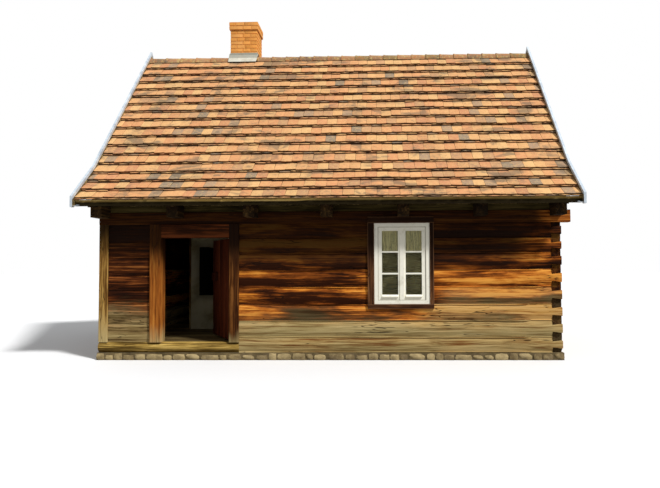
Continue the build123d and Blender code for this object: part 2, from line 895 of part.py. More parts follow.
# Chimney stack on the hood, through the ceiling and the ridge, with an open flue
with BuildPart() as chimney_stack:
    with BuildSketch(Plane.XY.offset(hood_top + fit_gap)):
        with Locations((stack_x, stack_y)):
            Rectangle(stack_width, stack_depth)
            Rectangle(flue_width, flue_width, mode=Mode.SUBTRACT)
    extrude(amount=stack_top - hood_top - fit_gap)
chimney_stack.part.label = "chimney_stack"
export_step(chimney_stack.part, "parts/chimney_stack.step")

with BuildPart() as chimney_cap:
    with BuildSketch(Plane.XY.offset(stack_top + fit_gap)):
        with Locations((stack_x, stack_y)):
            Rectangle(stack_width + 2 * cap_step, stack_depth + 2 * cap_step)
            Rectangle(flue_width, flue_width, mode=Mode.SUBTRACT)
    extrude(amount=cap_height - fit_gap)
chimney_cap.part.label = "chimney_cap"
export_step(chimney_cap.part, "parts/chimney_cap.step")

# Zinc flashing: an apron over the ridge, a collar on the back slope, and an upstand round the stack
saddle_low = top_butt - fit_gap
collar_reach = stack_back + flashing_margin


def saddle_band(x_from, x_to, high_drop, front_reach, back_reach):
    """A band that rides over the ridge, from the tiles up, with its own reach down each slope."""
    halves = []
    for reach in (front_reach, back_reach):
        halves.append(roof_band(x_from, x_to, [
            (0, main_line(0, saddle_low)),
            (reach, main_line(reach, saddle_low)),
            (reach, main_line(reach, high_drop)),
            (0, main_line(0, high_drop)),
        ]))
    with BuildPart() as band:
        add([halves[0], to_back(halves[1])])
    return band.part


def upstand_ring():
    """The sheets against the four faces of the stack, their top parallel to the roof."""
    width, depth = stack_width + 2 * fit_gap, stack_depth + 2 * fit_gap
    with BuildPart() as ring:
        with BuildSketch(Plane.XY.offset(beam_top)):
            with Locations((stack_x, stack_y)):
                Rectangle(width + 2 * flashing_sheet, depth + 2 * flashing_sheet)
                Rectangle(width, depth, mode=Mode.SUBTRACT)
        extrude(amount=stack_top - beam_top)
        add(
            saddle_band(
                stack_left - stack_width, stack_right + stack_width,
                saddle_low - flashing_upstand, stack_width, stack_back + stack_width
            ),
            mode=Mode.INTERSECT,
        )
    return ring.part


with BuildPart() as chimney_flashing:
    add(saddle_band(
        stack_left - flashing_margin, stack_right + flashing_margin,
        saddle_low - flashing_sheet, flashing_apron, collar_reach
    ))
    add(stack_hole, mode=Mode.SUBTRACT)
    add(upstand_ring())
chimney_flashing.part.label = "chimney_flashing"
export_step(chimney_flashing.part, "parts/chimney_flashing.step")

# Floor: joists on the inner ledges of the footing, trimmed at the hearth, and boards
joist_reach = round_sill_back - 2 * fit_gap
joist_room = inner_half_length - joist_width
joist_pitch = 2 * joist_room / (joist_count - 1)
joist_top = floor_top - floor_thickness - fit_gap
hearth_clearance = joist_width / 2 + fit_gap

with BuildPart() as floor_joists:
    for i in range(joist_count):
        joist_x = -joist_room + i * joist_pitch
        beside = joist_x < hearth_left - hearth_clearance or joist_x > hearth_right + hearth_clearance
        if beside:
            spans = [(-joist_reach, joist_reach)]
        else:
            spans = [(-joist_reach, hearth_front - fit_gap), (hearth_back + fit_gap, joist_reach)]
        for y_from, y_to in spans:
            add(block(
                joist_x - joist_width / 2, joist_x + joist_width / 2, y_from, y_to,
                footing_height + fit_gap, joist_top
            ))
floor_joists.part.label = "floor_joists"
export_step(floor_joists.part, "parts/floor_joists.step")

floor_half_x = inner_half_length - 2 * fit_gap
floor_half_y = round_sill_back - 2 * fit_gap

with BuildPart() as floor_boards:
    add(block(
        -floor_half_x, floor_half_x, -floor_half_y, floor_half_y,
        floor_top - floor_thickness, floor_top
    ))
    add(block(
        hearth_left - fit_gap, hearth_right + fit_gap, hearth_front - fit_gap,
        hearth_back + fit_gap, 0, floor_top
    ), mode=Mode.SUBTRACT)
floor_boards.part.label = "floor_boards"
export_step(floor_boards.part, "parts/floor_boards.step")

# Ceiling boards on the beams, between the feet of the rafters and round the stack
ceiling_half_x = end_rafter_x - rafter_width / 2 - fit_gap
ceiling_half_y = main_y(foot_level + ceiling_thickness, rafter_drop + rafter_depth) - 2 * fit_gap

with BuildPart() as ceiling_boards:
    add(block(
        -ceiling_half_x, ceiling_half_x, -ceiling_half_y, ceiling_half_y,
        beam_top + fit_gap, beam_top + fit_gap + ceiling_thickness
    ))
    add(stack_hole, mode=Mode.SUBTRACT)
ceiling_boards.part.label = "ceiling_boards"
export_step(ceiling_boards.part, "parts/ceiling_boards.step")

# Window frame, fixed in the opening of the log wall and a little proud of its face
opening_bottom = course_levels[courses_below_window]
frame_bottom = opening_bottom + fit_gap
frame_height = plate_bottom - opening_bottom - 2 * fit_gap
frame_middle_x = (window_start + window_end) / 2
frame_middle_z = frame_bottom + frame_height / 2
frame_face = -half_depth - window_frame_proud
daylight_width = window_width - 2 * window_frame_member
daylight_height = frame_height - 2 * window_frame_member
sash_face = frame_face + sash_setback


def upright_plane(y):
    """A plane parallel to the front wall, its outlines drawn out towards the back."""
    return Plane(origin=(0, y, 0), x_dir=(1, 0, 0), z_dir=(0, -1, 0))


with BuildPart() as window_frame:
    with BuildSketch(upright_plane(frame_face)):
        with Locations((frame_middle_x, frame_middle_z)):
            Rectangle(window_width, frame_height)
            Rectangle(daylight_width, daylight_height, mode=Mode.SUBTRACT)
    extrude(amount=-window_frame_depth)
    frame_edges = window_frame.faces().sort_by(Axis.Y)[0].edges()
    chamfer(frame_edges, edge_wear / 3)
window_frame.part.label = "window_frame"
export_step(window_frame.part, "parts/window_frame.step")

# Sashes: stiles, rails and glazing bars, rebated at the back for the glass
sash_width = daylight_width / 2 - fit_gap
sash_height = daylight_height - 2 * fit_gap
pane_width = sash_width - 2 * sash_stile
pane_height = (
    sash_height - sash_stile - sash_bottom_rail - (panes_per_sash - 1) * glazing_bar
) / panes_per_sash
sash_bottom = frame_middle_z - sash_height / 2
glass_width = pane_width + 2 * glass_rebate
glass_bottom = sash_bottom + sash_bottom_rail - glass_rebate
glass_height = sash_height - sash_stile - sash_bottom_rail + 2 * glass_rebate
glass_face = sash_face + glazing_bar_depth


def sash(middle_x):
    """One closed sash with its panes one above the other."""
    pane_levels = [
        sash_bottom + sash_bottom_rail + pane_height / 2 + i * (pane_height + glazing_bar)
        for i in range(panes_per_sash)
    ]
    with BuildPart() as leaf:
        with BuildSketch(upright_plane(sash_face)):
            with Locations((middle_x, frame_middle_z)):
                Rectangle(sash_width - fit_gap, sash_height)
            with Locations([(middle_x, level) for level in pane_levels]):
                Rectangle(pane_width, pane_height, mode=Mode.SUBTRACT)
        extrude(amount=-sash_thickness)
        with BuildSketch(upright_plane(glass_face)):
            with Locations((middle_x, glass_bottom + glass_height / 2)):
                Rectangle(glass_width, glass_height)
        extrude(amount=-sash_thickness, mode=Mode.SUBTRACT)
        with BuildSketch(Plane.YZ.offset(middle_x - pane_width / 2)):
            with BuildLine():
                Polyline(
                    (sash_face, sash_bottom + sash_bottom_rail - 2),
                    (sash_face - drip_bar_depth, sash_bottom + sash_bottom_rail - drip_bar_height),
                    (sash_face - drip_bar_depth, sash_bottom + sash_bottom_rail
                     - 1.5 * drip_bar_height),
                    (sash_face, sash_bottom + sash_bottom_rail - 1.5 * drip_bar_height),
                    close=True,
                )
            make_face()
        extrude(amount=pane_width)
    return leaf.part


left_sash_x = frame_middle_x - sash_width / 2
right_sash_x = frame_middle_x + sash_width / 2

with BuildPart() as window_sashes:
    add([sash(left_sash_x), sash(right_sash_x)])
    add(block(
        frame_middle_x - cover_strip_width / 2, frame_middle_x + cover_strip_width / 2,
        sash_face - cover_strip_thickness, sash_face - fit_gap,
        sash_bottom, sash_bottom + sash_height
    ))
    add(block(
        frame_middle_x - cover_strip_width / 2, frame_middle_x - fit_gap / 2,
        sash_face - fit_gap, sash_face, sash_bottom, sash_bottom + sash_height
    ))
window_sashes.part.label = "window_sashes"
export_step(window_sashes.part, "parts/window_sashes.step")

with BuildPart() as window_glass:
    with BuildSketch(upright_plane(glass_face + fit_gap)):
        with Locations(
            (left_sash_x, glass_bottom + glass_height / 2),
            (right_sash_x, glass_bottom + glass_height / 2),
        ):
            Rectangle(glass_width - 2 * fit_gap, glass_height - 2 * fit_gap)
    extrude(amount=-glass_thickness)
window_glass.part.label = "window_glass"
export_step(window_glass.part, "parts/window_glass.step")

# Casing boards nailed on the logs round the frame
casing_left = window_start - casing_left_width
casing_right = window_end + casing_right_width
casing_top = beam_bottom - fit_gap

with BuildPart() as window_casing:
    casing_faces = (-half_depth - fit_gap - casing_thickness, -half_depth - fit_gap)
    for board_x in ((casing_left, window_start - fit_gap), (window_end + fit_gap, casing_right)):
        add(block(*board_x, *casing_faces, opening_bottom, plate_bottom))
    for low, high in (
        (opening_bottom - casing_below, opening_bottom - fit_gap),
        (plate_bottom + fit_gap, casing_top),
    ):
        add(block(casing_left, casing_right, *casing_faces, low, high))
window_casing.part.label = "window_casing"
export_step(window_casing.part, "parts/window_casing.step")

# Rod on two arms inside the window, and the short lace curtain that hangs on it
frame_back = frame_face + window_frame_depth
rod_y = (frame_back - inner_half_depth) / 2
rod_z = frame_bottom + frame_height - curtain_rod_drop
rod_half = daylight_width / 2 + window_frame_member / 2

with BuildPart() as curtain_rod:
    with BuildSketch(Plane.YZ.offset(frame_middle_x - rod_half)):
        with Locations((rod_y, rod_z)):
            Circle(curtain_rod_radius)
    extrude(amount=2 * rod_half)
    for arm_x in (frame_middle_x - rod_half, frame_middle_x + rod_half - 2 * curtain_rod_radius):
        add(block(
            arm_x, arm_x + 2 * curtain_rod_radius, frame_back + fit_gap, rod_y,
            rod_z - curtain_rod_radius, rod_z + curtain_rod_radius
        ))
curtain_rod.part.label = "curtain_rod"
export_step(curtain_rod.part, "parts/curtain_rod.step")

with BuildPart() as window_curtain:
    add(block(
        frame_middle_x - daylight_width / 2, frame_middle_x + daylight_width / 2,
        rod_y - curtain_thickness / 2, rod_y + curtain_thickness / 2,
        rod_z - curtain_rod_radius - fit_gap - curtain_height, rod_z - curtain_rod_radius - fit_gap
    ))
window_curtain.part.label = "window_curtain"
export_step(window_curtain.part, "parts/window_curtain.step")

# Door, first drawn closed: planks flush with the inner faces of the posts
leaf_right = doorway_end - leaf_hinge_gap
leaf_left = doorway_start + leaf_side_gap
leaf_inner = -wall_middle_y + door_post_depth / 2
leaf_outer = leaf_inner - leaf_thickness
leaf_bottom = round_sill_top + leaf_bottom_gap
leaf_top = lintel_bottom - leaf_top_gap
pin_x = leaf_right + pin_offset
pin_y = leaf_inner + pin_radius + 8
strap_levels = (leaf_bottom + strap_inset, leaf_top - strap_inset)
hinge_axis = Axis((pin_x, pin_y, 0), (0, 0, 1))


def swung(piece):
    """A piece of the door, turned inward about the hinge pins to its resting place."""
    return piece.rotate(hinge_axis, -door_angle)


def closed_leaf():
    """The plank leaf, with a groove at each joint between planks on both faces."""
    plank = (leaf_right - leaf_left) / leaf_planks
    with BuildPart() as leaf:
        add(block(leaf_left, leaf_right, leaf_outer, leaf_inner, leaf_bottom, leaf_top))
        with BuildSketch(Plane.XY.offset(leaf_bottom)):
            with Locations([
                (leaf_left + i * plank, face)
                for i in range(1, leaf_planks) for face in (leaf_outer, leaf_inner)
            ]):
                Rectangle(groove_size, groove_size, rotation=45)
        extrude(amount=leaf_top - leaf_bottom, mode=Mode.SUBTRACT)
    return leaf.part


def closed_ledges():
    """Two ledges across the inner face of the leaf, inside the two straps."""
    with BuildPart() as ledges:
        for level in (strap_levels[0] + ledge_offset, strap_levels[1] - ledge_offset):
            add(block(
                leaf_left + ledge_inset, leaf_right - ledge_inset,
                leaf_inner + fit_gap, leaf_inner + fit_gap + ledge_thickness,
                level - ledge_width / 2, level + ledge_width / 2
            ))
    return ledges.part


def closed_straps():
    """Two strap hinges with rolled eyes on the inner face of the leaf."""
    with BuildPart() as straps:
        for level in strap_levels:
            add(block(
                pin_x - strap_length, pin_x, leaf_inner + fit_gap,
                leaf_inner + fit_gap + strap_thickness, level - strap_width / 2,
                level + strap_width / 2
            ))
            with BuildSketch(Plane.XY.offset(level - strap_width / 2)):
                with Locations((pin_x, pin_y)):
                    Circle(eye_radius)
            extrude(amount=strap_width)
            with BuildSketch(Plane.XY.offset(level - strap_width / 2)):
                with Locations((pin_x, pin_y)):
                    Circle(pin_radius + fit_gap)
            extrude(amount=strap_width, mode=Mode.SUBTRACT)
    return straps.part


def closed_lock():
    """The lock case on the outer face of the leaf, near its free edge."""
    with BuildPart() as lock:
        add(block(
            leaf_left + lock_inset, leaf_left + lock_inset + lock_width,
            leaf_outer - fit_gap - lock_thickness, leaf_outer - fit_gap,
            lock_centre - lock_height / 2, lock_centre + lock_height / 2
        ))
        chamfer(lock.faces().sort_by(Axis.Y)[0].edges(), edge_wear / 2)
    return lock.part


with BuildPart() as door_leaf:
    add(swung(closed_leaf()))
door_leaf.part.label = "door_leaf"
export_step(door_leaf.part, "parts/door_leaf.step")

with BuildPart() as door_ledges:
    add(swung(closed_ledges()))
door_ledges.part.label = "door_ledges"
export_step(door_ledges.part, "parts/door_ledges.step")

with BuildPart() as door_straps:
    add(swung(closed_straps()))
door_straps.part.label = "door_straps"
export_step(door_straps.part, "parts/door_straps.step")

with BuildPart() as door_lock:
    add(swung(closed_lock()))
door_lock.part.label = "door_lock"
export_step(door_lock.part, "parts/door_lock.step")

# Hinge hooks: a pin under each eye, on a spike driven into the right door post
with BuildPart() as door_hooks:
    for level in strap_levels:
        eye_bottom = level - strap_width / 2 - fit_gap
        with BuildSketch(Plane.XY.offset(eye_bottom - 2 * pin_radius)):
            with Locations((pin_x, pin_y)):
                Circle(pin_radius)
        extrude(amount=pin_height)
        add(block(
            pin_x - pin_radius, pin_x + pin_radius, leaf_inner + fit_gap, pin_y,
            eye_bottom - 2 * pin_radius, eye_bottom
        ))
door_hooks.part.label = "door_hooks"
export_step(door_hooks.part, "parts/door_hooks.step")
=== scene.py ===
"""Looks of the log cabin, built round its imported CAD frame.

Measures are metres in the frame's axes: +X along the front to the right, +Y from the front wall
to the back wall, +Z up. Each part of the cabin is a class that builds and dresses its own
pieces, and each surface is a class that draws its own material.
"""

import json
import logging
import math
import random
from abc import ABC, abstractmethod
from collections.abc import Iterable, Sequence
from dataclasses import dataclass, replace
from enum import Enum
from itertools import product

import bmesh
import bpy
from mathutils import Matrix, Vector, noise

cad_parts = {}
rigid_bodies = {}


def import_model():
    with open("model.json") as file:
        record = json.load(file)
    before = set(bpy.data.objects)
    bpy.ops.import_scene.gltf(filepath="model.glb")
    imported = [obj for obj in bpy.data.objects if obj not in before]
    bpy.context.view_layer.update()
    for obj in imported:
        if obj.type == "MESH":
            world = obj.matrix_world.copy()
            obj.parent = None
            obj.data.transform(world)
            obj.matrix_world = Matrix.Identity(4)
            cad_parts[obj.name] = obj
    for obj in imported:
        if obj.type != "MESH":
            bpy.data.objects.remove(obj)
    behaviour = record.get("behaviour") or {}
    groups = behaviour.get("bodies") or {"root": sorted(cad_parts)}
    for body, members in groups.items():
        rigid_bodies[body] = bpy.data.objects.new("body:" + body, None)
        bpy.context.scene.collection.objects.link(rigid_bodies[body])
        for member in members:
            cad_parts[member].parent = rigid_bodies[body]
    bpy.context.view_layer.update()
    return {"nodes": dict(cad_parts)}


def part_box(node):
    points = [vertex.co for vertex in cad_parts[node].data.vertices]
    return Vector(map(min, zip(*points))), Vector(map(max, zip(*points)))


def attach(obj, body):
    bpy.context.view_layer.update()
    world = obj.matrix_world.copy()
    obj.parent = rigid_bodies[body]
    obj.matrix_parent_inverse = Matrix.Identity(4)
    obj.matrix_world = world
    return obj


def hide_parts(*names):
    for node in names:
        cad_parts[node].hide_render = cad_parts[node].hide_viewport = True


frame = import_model()
log = logging.getLogger("cabin")

Colour = tuple[float, float, float, float]
Triple = tuple[float, float, float]
Span = tuple[float, float]
Node = bpy.types.Node
Socket = bpy.types.NodeSocket
Mesh = bpy.types.Mesh
Piece = bpy.types.Object
Solid = bmesh.types.BMesh
FaceMark = bmesh.types.BMLayerItem


def tint(red: int, green: int, blue: int) -> Colour:
    """Turns a colour as a screen shows it, 0 to 255, into a linear one."""
    def linear(level: int) -> float:
        """The light that a level stands for."""
        share = level / 255
        return share / 12.92 if share <= 0.04045 else ((share + 0.055) / 1.055) ** 2.4
    return (linear(red), linear(green), linear(blue), 1.0)


def tones(*shown: tuple[int, int, int]) -> dict[str, Colour]:
    """The four tones of a wood, from its darkest streak to its brightest."""
    return {name: tint(*colour) for name, colour in zip(("dark", "middle", "pale", "glow"), shown)}


# Node trees


class Signal:
    """A value on its way from one node to the next; a sum on it adds a node."""

    def __init__(self, graph: "Graph", socket: Socket) -> None:
        """Keeps the output that the value comes from."""
        self.graph = graph
        self.socket = socket

    def __add__(self, other: "Value") -> "Signal":
        """The sum of both."""
        return self.graph.math("ADD", self, other)

    def __sub__(self, other: "Value") -> "Signal":
        """This less the other."""
        return self.graph.math("SUBTRACT", self, other)

    def __rsub__(self, other: float) -> "Signal":
        """A number less this."""
        return self.graph.math("SUBTRACT", other, self)

    def __mul__(self, other: "Value") -> "Signal":
        """The product of both."""
        return self.graph.math("MULTIPLY", self, other)

    def __abs__(self) -> "Signal":
        """The distance from 0."""
        return self.graph.math("ABSOLUTE", self)

    def largest(self, *others: "Value") -> "Signal":
        """The largest of this and others."""
        top = self
        for other in others:
            top = self.graph.math("MAXIMUM", top, other)
        return top

    def step(self, low: float, high: float, to_low: float = 0.0, to_high: float = 1.0) -> "Signal":
        """A smooth step from one level to another as the value goes from low to high."""
        levels = {"Value": self, "From Min": low, "From Max": high, "To Min": to_low, "To Max": to_high}
        return self.graph.take("ShaderNodeMapRange", levels, "Result", interpolation_type="SMOOTHSTEP")


Value = Signal | Socket | float | tuple[float, ...]


class Graph:
    """A node tree under construction."""

    def __init__(self, tree: bpy.types.NodeTree) -> None:
        """Keeps the tree that the nodes go into."""
        self.tree = tree

    def add(self, kind: str, inputs: dict[str | int, Value] | None = None,
            **settings: object) -> Node:
        """Adds a node.

        Args:
            kind: the node's type.
            inputs: what goes into its sockets, by name or place.
            settings: the node's own options.
        Returns:
            The new node.
        """
        node = self.tree.nodes.new(kind)
        for name, value in settings.items():
            setattr(node, name, value)
        for key, value in (inputs or {}).items():
            self.feed(node.inputs[key], value)
        return node

    def take(self, kind: str, inputs: dict[str | int, Value] | None = None, output: str | int = 0,
             **settings: object) -> Signal:
        """Adds a node and returns what one of its outputs gives."""
        return Signal(self, self.add(kind, inputs, **settings).outputs[output])

    def feed(self, socket: Socket, value: Value) -> None:
        """Links a socket to another node's output, or sets it to a plain value."""
        if isinstance(value, Signal):
            value = value.socket
        if isinstance(value, Socket):
            self.tree.links.new(value, socket)
        else:
            socket.default_value = value

    def math(self, operation: str, *values: Value) -> Signal:
        """A sum on numbers."""
        return self.take("ShaderNodeMath", dict(enumerate(values)), operation=operation)

    def vector(self, operation: str, *values: Value) -> Signal:
        """A sum on vectors."""
        return self.take("ShaderNodeVectorMath", dict(enumerate(values)), operation=operation)

    def scaled(self, way: Value, share: Value) -> Signal:
        """A vector times a number."""
        return self.take("ShaderNodeVectorMath", {0: way, "Scale": share}, operation="SCALE")

    def where(self) -> Signal:
        """The place on the piece, in metres."""
        return self.take("ShaderNodeTexCoord", output="Object")

    def own_place(self, place: Value, way: Triple) -> Signal:
        """The place moved along a way by the solid's own tone, so that no two solids look alike."""
        return self.vector("ADD", place, self.scaled(way, self.attribute("tone")))

    def axes(self, place: Value) -> tuple[Signal, ...]:
        """The three parts of a vector."""
        return tuple(Signal(self, part) for part in self.add("ShaderNodeSeparateXYZ", {0: place}).outputs)

    def attribute(self, name: str) -> Signal:
        """A number that the mesh carries at each point."""
        return self.take("ShaderNodeAttribute", output="Fac", attribute_name=name)

    def stretch(self, place: Value, scale: Triple) -> Signal:
        """Places scaled along each axis."""
        return self.vector("MULTIPLY", place, scale)

    def noise(self, place: Value, scale: float, detail: float = 4, rough: float = 0.55,
              warp: float = 0.0, output: str = "Fac") -> Signal:
        """Cloudy noise from 0 to 1."""
        levels = {"Vector": place, "Scale": scale, "Detail": detail, "Roughness": rough, "Distortion": warp}
        return self.take("ShaderNodeTexNoise", levels, output)

    def cells(self, place: Value, scale: float, feature: str = "F1",
              chance: float = 1.0) -> dict[str, Signal]:
        """A cell pattern, by the names of what it gives, such as the distance from each cell's middle."""
        node = self.add("ShaderNodeTexVoronoi", {"Vector": place, "Scale": scale, "Randomness": chance},
                        feature=feature)
        return {output.name: Signal(self, output) for output in node.outputs}

    def ramp(self, value: Value, stops: Sequence[tuple[float, Colour]], blend: str = "LINEAR") -> Signal:
        """A colour that changes with a value."""
        node = self.add("ShaderNodeValToRGB", {0: value})
        node.color_ramp.interpolation = blend
        elements = node.color_ramp.elements
        while len(elements) < len(stops):
            elements.new(1.0)
        for element, (place, colour) in zip(elements, stops):
            element.position = place
            element.color = colour
        return Signal(self, node.outputs["Color"])

    def mix(self, share: Value, first: Value, second: Value, blend: str = "MIX") -> Signal:
        """Two colours mixed."""
        return self.take("ShaderNodeMix", {0: share, 6: first, 7: second}, 2, data_type="RGBA",
                         blend_type=blend)

    def blend(self, share: Value, first: Node, second: Node) -> Node:
        """Two shaders mixed."""
        return self.add("ShaderNodeMixShader", {0: share, 1: first.outputs[0], 2: second.outputs[0]})

    def bump(self, height: Value, depth: float) -> Signal:
        """A bumpy normal, from a height of 0 to 1 that stands for a depth in metres."""
        return self.take("ShaderNodeBump", {"Height": height, "Distance": depth}, "Normal")

    def coat(self, shader: Node, colour: Signal, roughness: Signal, height: Signal,
             depth: float, gloss: float = 0.5) -> None:
        """Sets up a principled shader.

        Args:
            shader: the shader.
            colour: its colour.
            roughness: its roughness.
            height: its relief, from 0 to 1.
            depth: what a relief of 1 stands for, in metres.
            gloss: its specular level.
        """
        self.feed(shader.inputs["Base Color"], colour)
        self.feed(shader.inputs["Roughness"], roughness)
        self.feed(shader.inputs["Normal"], self.bump(height, depth))
        shader.inputs["Specular IOR Level"].default_value = gloss


def cleared(owner: bpy.types.ID) -> Graph:
    """The emptied node tree of a material or world."""
    owner.use_nodes = True
    owner.node_tree.nodes.clear()
    return Graph(owner.node_tree)


# Finishes


@dataclass(frozen=True)
class Finish(ABC):
    """A procedural surface."""

    name: str

    @abstractmethod
    def draw(self, graph: Graph, shader: Node) -> Node | None:
        """Draws the surface.

        Args:
            graph: the material's tree.
            shader: its principled shader.
        Returns:
            The shader to show where it isn't the principled one.
        """

    def material(self) -> bpy.types.Material:
        """The finish as a material, made once."""
        made = bpy.data.materials.get(self.name)
        if made is None:
            made = bpy.data.materials.new(self.name)
            graph = cleared(made)
            shader = graph.add("ShaderNodeBsdfPrincipled")
            shown = self.draw(graph, shader) or shader
            graph.add("ShaderNodeOutputMaterial", {"Surface": shown.outputs[0]})
        return made


class Grain(Enum):
    """The axis that a timber's fibres run along."""

    X = 0
    Y = 1
    Z = 2

    def stretch(self, along: float, across: float) -> Triple:
        """A scale that is finer across the fibres than along them."""
        scale = [across] * 3
        scale[self.value] = along
        return tuple(scale)


@dataclass(frozen=True)
class Figure:
    """A timber's pattern: four swings round 0 from fine to broad, and its cracks from 0 to 1."""

    fibre: Signal
    streak: Signal
    band: Signal
    patch: Signal
    crack: Signal


@dataclass(frozen=True)
class Wood(Finish):
    """Old wood: streaks, fibres, checks and knots, grey with weather low down, and dark up high with painted
    shade of the eaves.

    Args:
        grain: which way the fibres run.
        dark: the darkest of its four tones; middle, pale and glow are the brighter ones.
        weather: the heights between which the grey of the rain ends.
        ragged: how uneven the edge of that grey is, in metres.
        by_log: whether each log is painted lighter at its top and darker at its foot, as painted light and
            shade, and greyed by the height of its own middle.
        climb: the stretch along the front where the painted shade and the grey end higher up, and how much
            higher each.
        shade: the heights between which the painted shade of the eaves begins.
        shade_end: the stretch along the front where that painted shade ends.
        dark_tone: the colour of knots, and of the painted shade under the eaves and on the timbers' ends.
        arris: the colour of the arrises; the dark default is dirt and painted shade in the joints, paler ones
            are wear, and on the lintel also a painted highlight.
        arris_share: how much that colour covers.
        end_shade_from: the distance from the middle at which the painted shade on a timber's ends begins.
        streaks: how strong the whole figure is.
        shares: how much the streaks, bands, fibres and patches count.
        rise: how much brighter the painted light makes the top of a log than its middle, and how much darker
            the painted shade makes its foot.
        checks: how strong the cracks are.
        depth: the relief's depth.
    """

    grain: Grain
    dark: Colour
    middle: Colour
    pale: Colour
    glow: Colour
    weather: Span = (-2.0, -1.0)
    ragged: float = 0.8
    by_log: bool = False
    climb: tuple[float, float, float, float] = (0.9, 1.9, 0.0, 0.0)
    shade: Span = (90.0, 91.0)
    shade_end: Span = (90.0, 91.0)
    dark_tone: Colour = tint(24, 12, 6)
    arris: Colour = tint(24, 12, 6)
    arris_share: float = 0.85
    end_shade_from: float = 90.0
    streaks: float = 1.0
    shares: tuple[float, float, float, float] = (1.3, 1.0, 1.1, 1.0)
    rise: float = 0.15
    checks: float = 1.0
    depth: float = 0.004

    def swing(self, graph: Graph, own: Signal, along: float, across: float, detail: float,
              warp: float = 0.0) -> Signal:
        """Noise drawn out along the fibres, as a swing round 0."""
        return graph.noise(graph.stretch(own, self.grain.stretch(along, across)), 1, detail, 0.6, warp) - 0.5

    def knots(self, graph: Graph, own: Signal) -> tuple[Signal, Signal]:
        """Knots: the place with its fibres bent round them, and how near each point is to one."""
        spread = graph.stretch(own, self.grain.stretch(1.1, 3.4))
        cell = graph.cells(spread, 1)
        near = cell["Distance"].step(0.0, 0.28, 1.0, 0.0)
        push = graph.scaled(graph.vector("SUBTRACT", spread, cell["Position"]), near * -0.16)
        return graph.vector("ADD", own, push), near.step(0.86, 0.95)

    def figure(self, graph: Graph, own: Signal) -> Figure:
        """The pattern at a place on the timber."""
        bend = graph.noise(graph.stretch(own, self.grain.stretch(0.8, 1.6)), 1, 2, 0.5, output="Color")
        own = graph.vector("ADD", own, graph.stretch(bend, self.grain.stretch(0.02, 0.07)))
        line = abs(self.swing(graph, own, 0.5, 8, 3)).step(0.001, 0.010, 1.0, 0.0)
        cracked = self.swing(graph, own, 0.6, 2.2, 2).step(0.0, 0.09)
        return Figure(
            fibre=self.swing(graph, own, 1.8, 85, 5),
            streak=self.swing(graph, own, 0.6, 34, 6, 0.2),
            band=self.swing(graph, own, 0.4, 8, 4, 0.2),
            patch=self.swing(graph, own, 0.9, 3.6, 5, 0.3),
            crack=line * (cracked * self.checks),
        )

    def weathered(self, graph: Graph, seen: Figure, tone: Signal, across: Signal, height: Signal) -> Signal:
        """The wood's colour, brown above and washed out to grey below.

        Args:
            graph: the material's tree.
            seen: the timber's pattern.
            tone: the timber's own number.
            across: the place along the front.
            height: the place above the ground.
        Returns:
            The colour.
        """
        level = (tone - 0.5) * (0.32 * self.streaks) + 0.5
        for swing, share in zip((seen.streak, seen.band, seen.fibre, seen.patch), self.shares):
            level = swing * (share * self.streaks) + level
        start, end, _, worn_rise = self.climb
        beside = across.step(start, end)
        worn = height
        if self.by_log:
            within = height - graph.attribute("seat")
            # Painted light on the top of each log and painted shade at its foot.
            level = level + within.step(-0.09, 0.09, -self.rise, self.rise)
            worn = within * -0.8 + height
        raised = beside * -worn_rise + worn
        if worn_rise:
            level = level + raised.step(0.7, 0.95, 0.22, 0.0) * beside
        brown = graph.ramp(level, [(0.22, self.dark), (0.5, self.middle), (0.7, self.pale), (0.9, self.glow)])
        fine = seen.streak + (seen.fibre * 0.9 + seen.band)
        grey = graph.ramp(fine + 0.5, [(0.18, self.middle), (0.36, tint(142, 118, 72)),
                                       (0.52, tint(180, 158, 106)), (0.8, tint(204, 184, 132))])
        greyed = (seen.patch * self.ragged + worn).step(*self.weather, 0.9, 0.0)
        bleached = (seen.patch * self.ragged + raised).step(*self.weather, 0.6, 0.0)
        return graph.mix(greyed.largest(bleached), brown, grey)

    def draw(self, graph: Graph, shader: Node) -> None:
        """Draws the wood."""
        place = graph.where()
        own, knot = self.knots(graph, graph.own_place(place, (37.0, 51.0, 23.0)))
        seen = self.figure(graph, own)
        parts = graph.axes(place)
        across, _, height = parts
        colour = self.weathered(graph, seen, graph.attribute("tone"), across, height)
        start, end, shade_rise, _ = self.climb
        # Painted shade of the eaves: it starts higher beside the window, deepens upwards and fades out near
        # the right corner.
        low = height - across.step(start, end, 0.0, shade_rise)
        shaded = (seen.band * 0.5 + low).step(*self.shade) * across.step(*self.shade_end, 1.0, 0.1)
        # Painted shade on the logs' ends that sit back in the corners.
        painted_end_shade = abs(parts[self.grain.value]).step(self.end_shade_from - 0.006, self.end_shade_from + 0.001, 0.0, 0.85)
        # Mixed over the colour: the painted eaves shade, knots, the painted shade on the ends, the arrises
        # (dark ones dirt and painted shade) and cracks.
        for share, over in ((shaded * 0.9, self.dark_tone), (knot * 0.7, self.dark_tone), (painted_end_shade, self.dark_tone),
                            (graph.attribute("edge") * self.arris_share, self.arris),
                            (seen.crack * 0.88, tint(22, 12, 8))):
            colour = graph.mix(share, colour, over)
        relief = seen.crack * -1.2 + (seen.fibre * 0.6 + seen.streak)
        graph.coat(shader, colour, seen.fibre.step(-0.3, 0.3, 0.62, 0.9), relief, self.depth, 0.05)


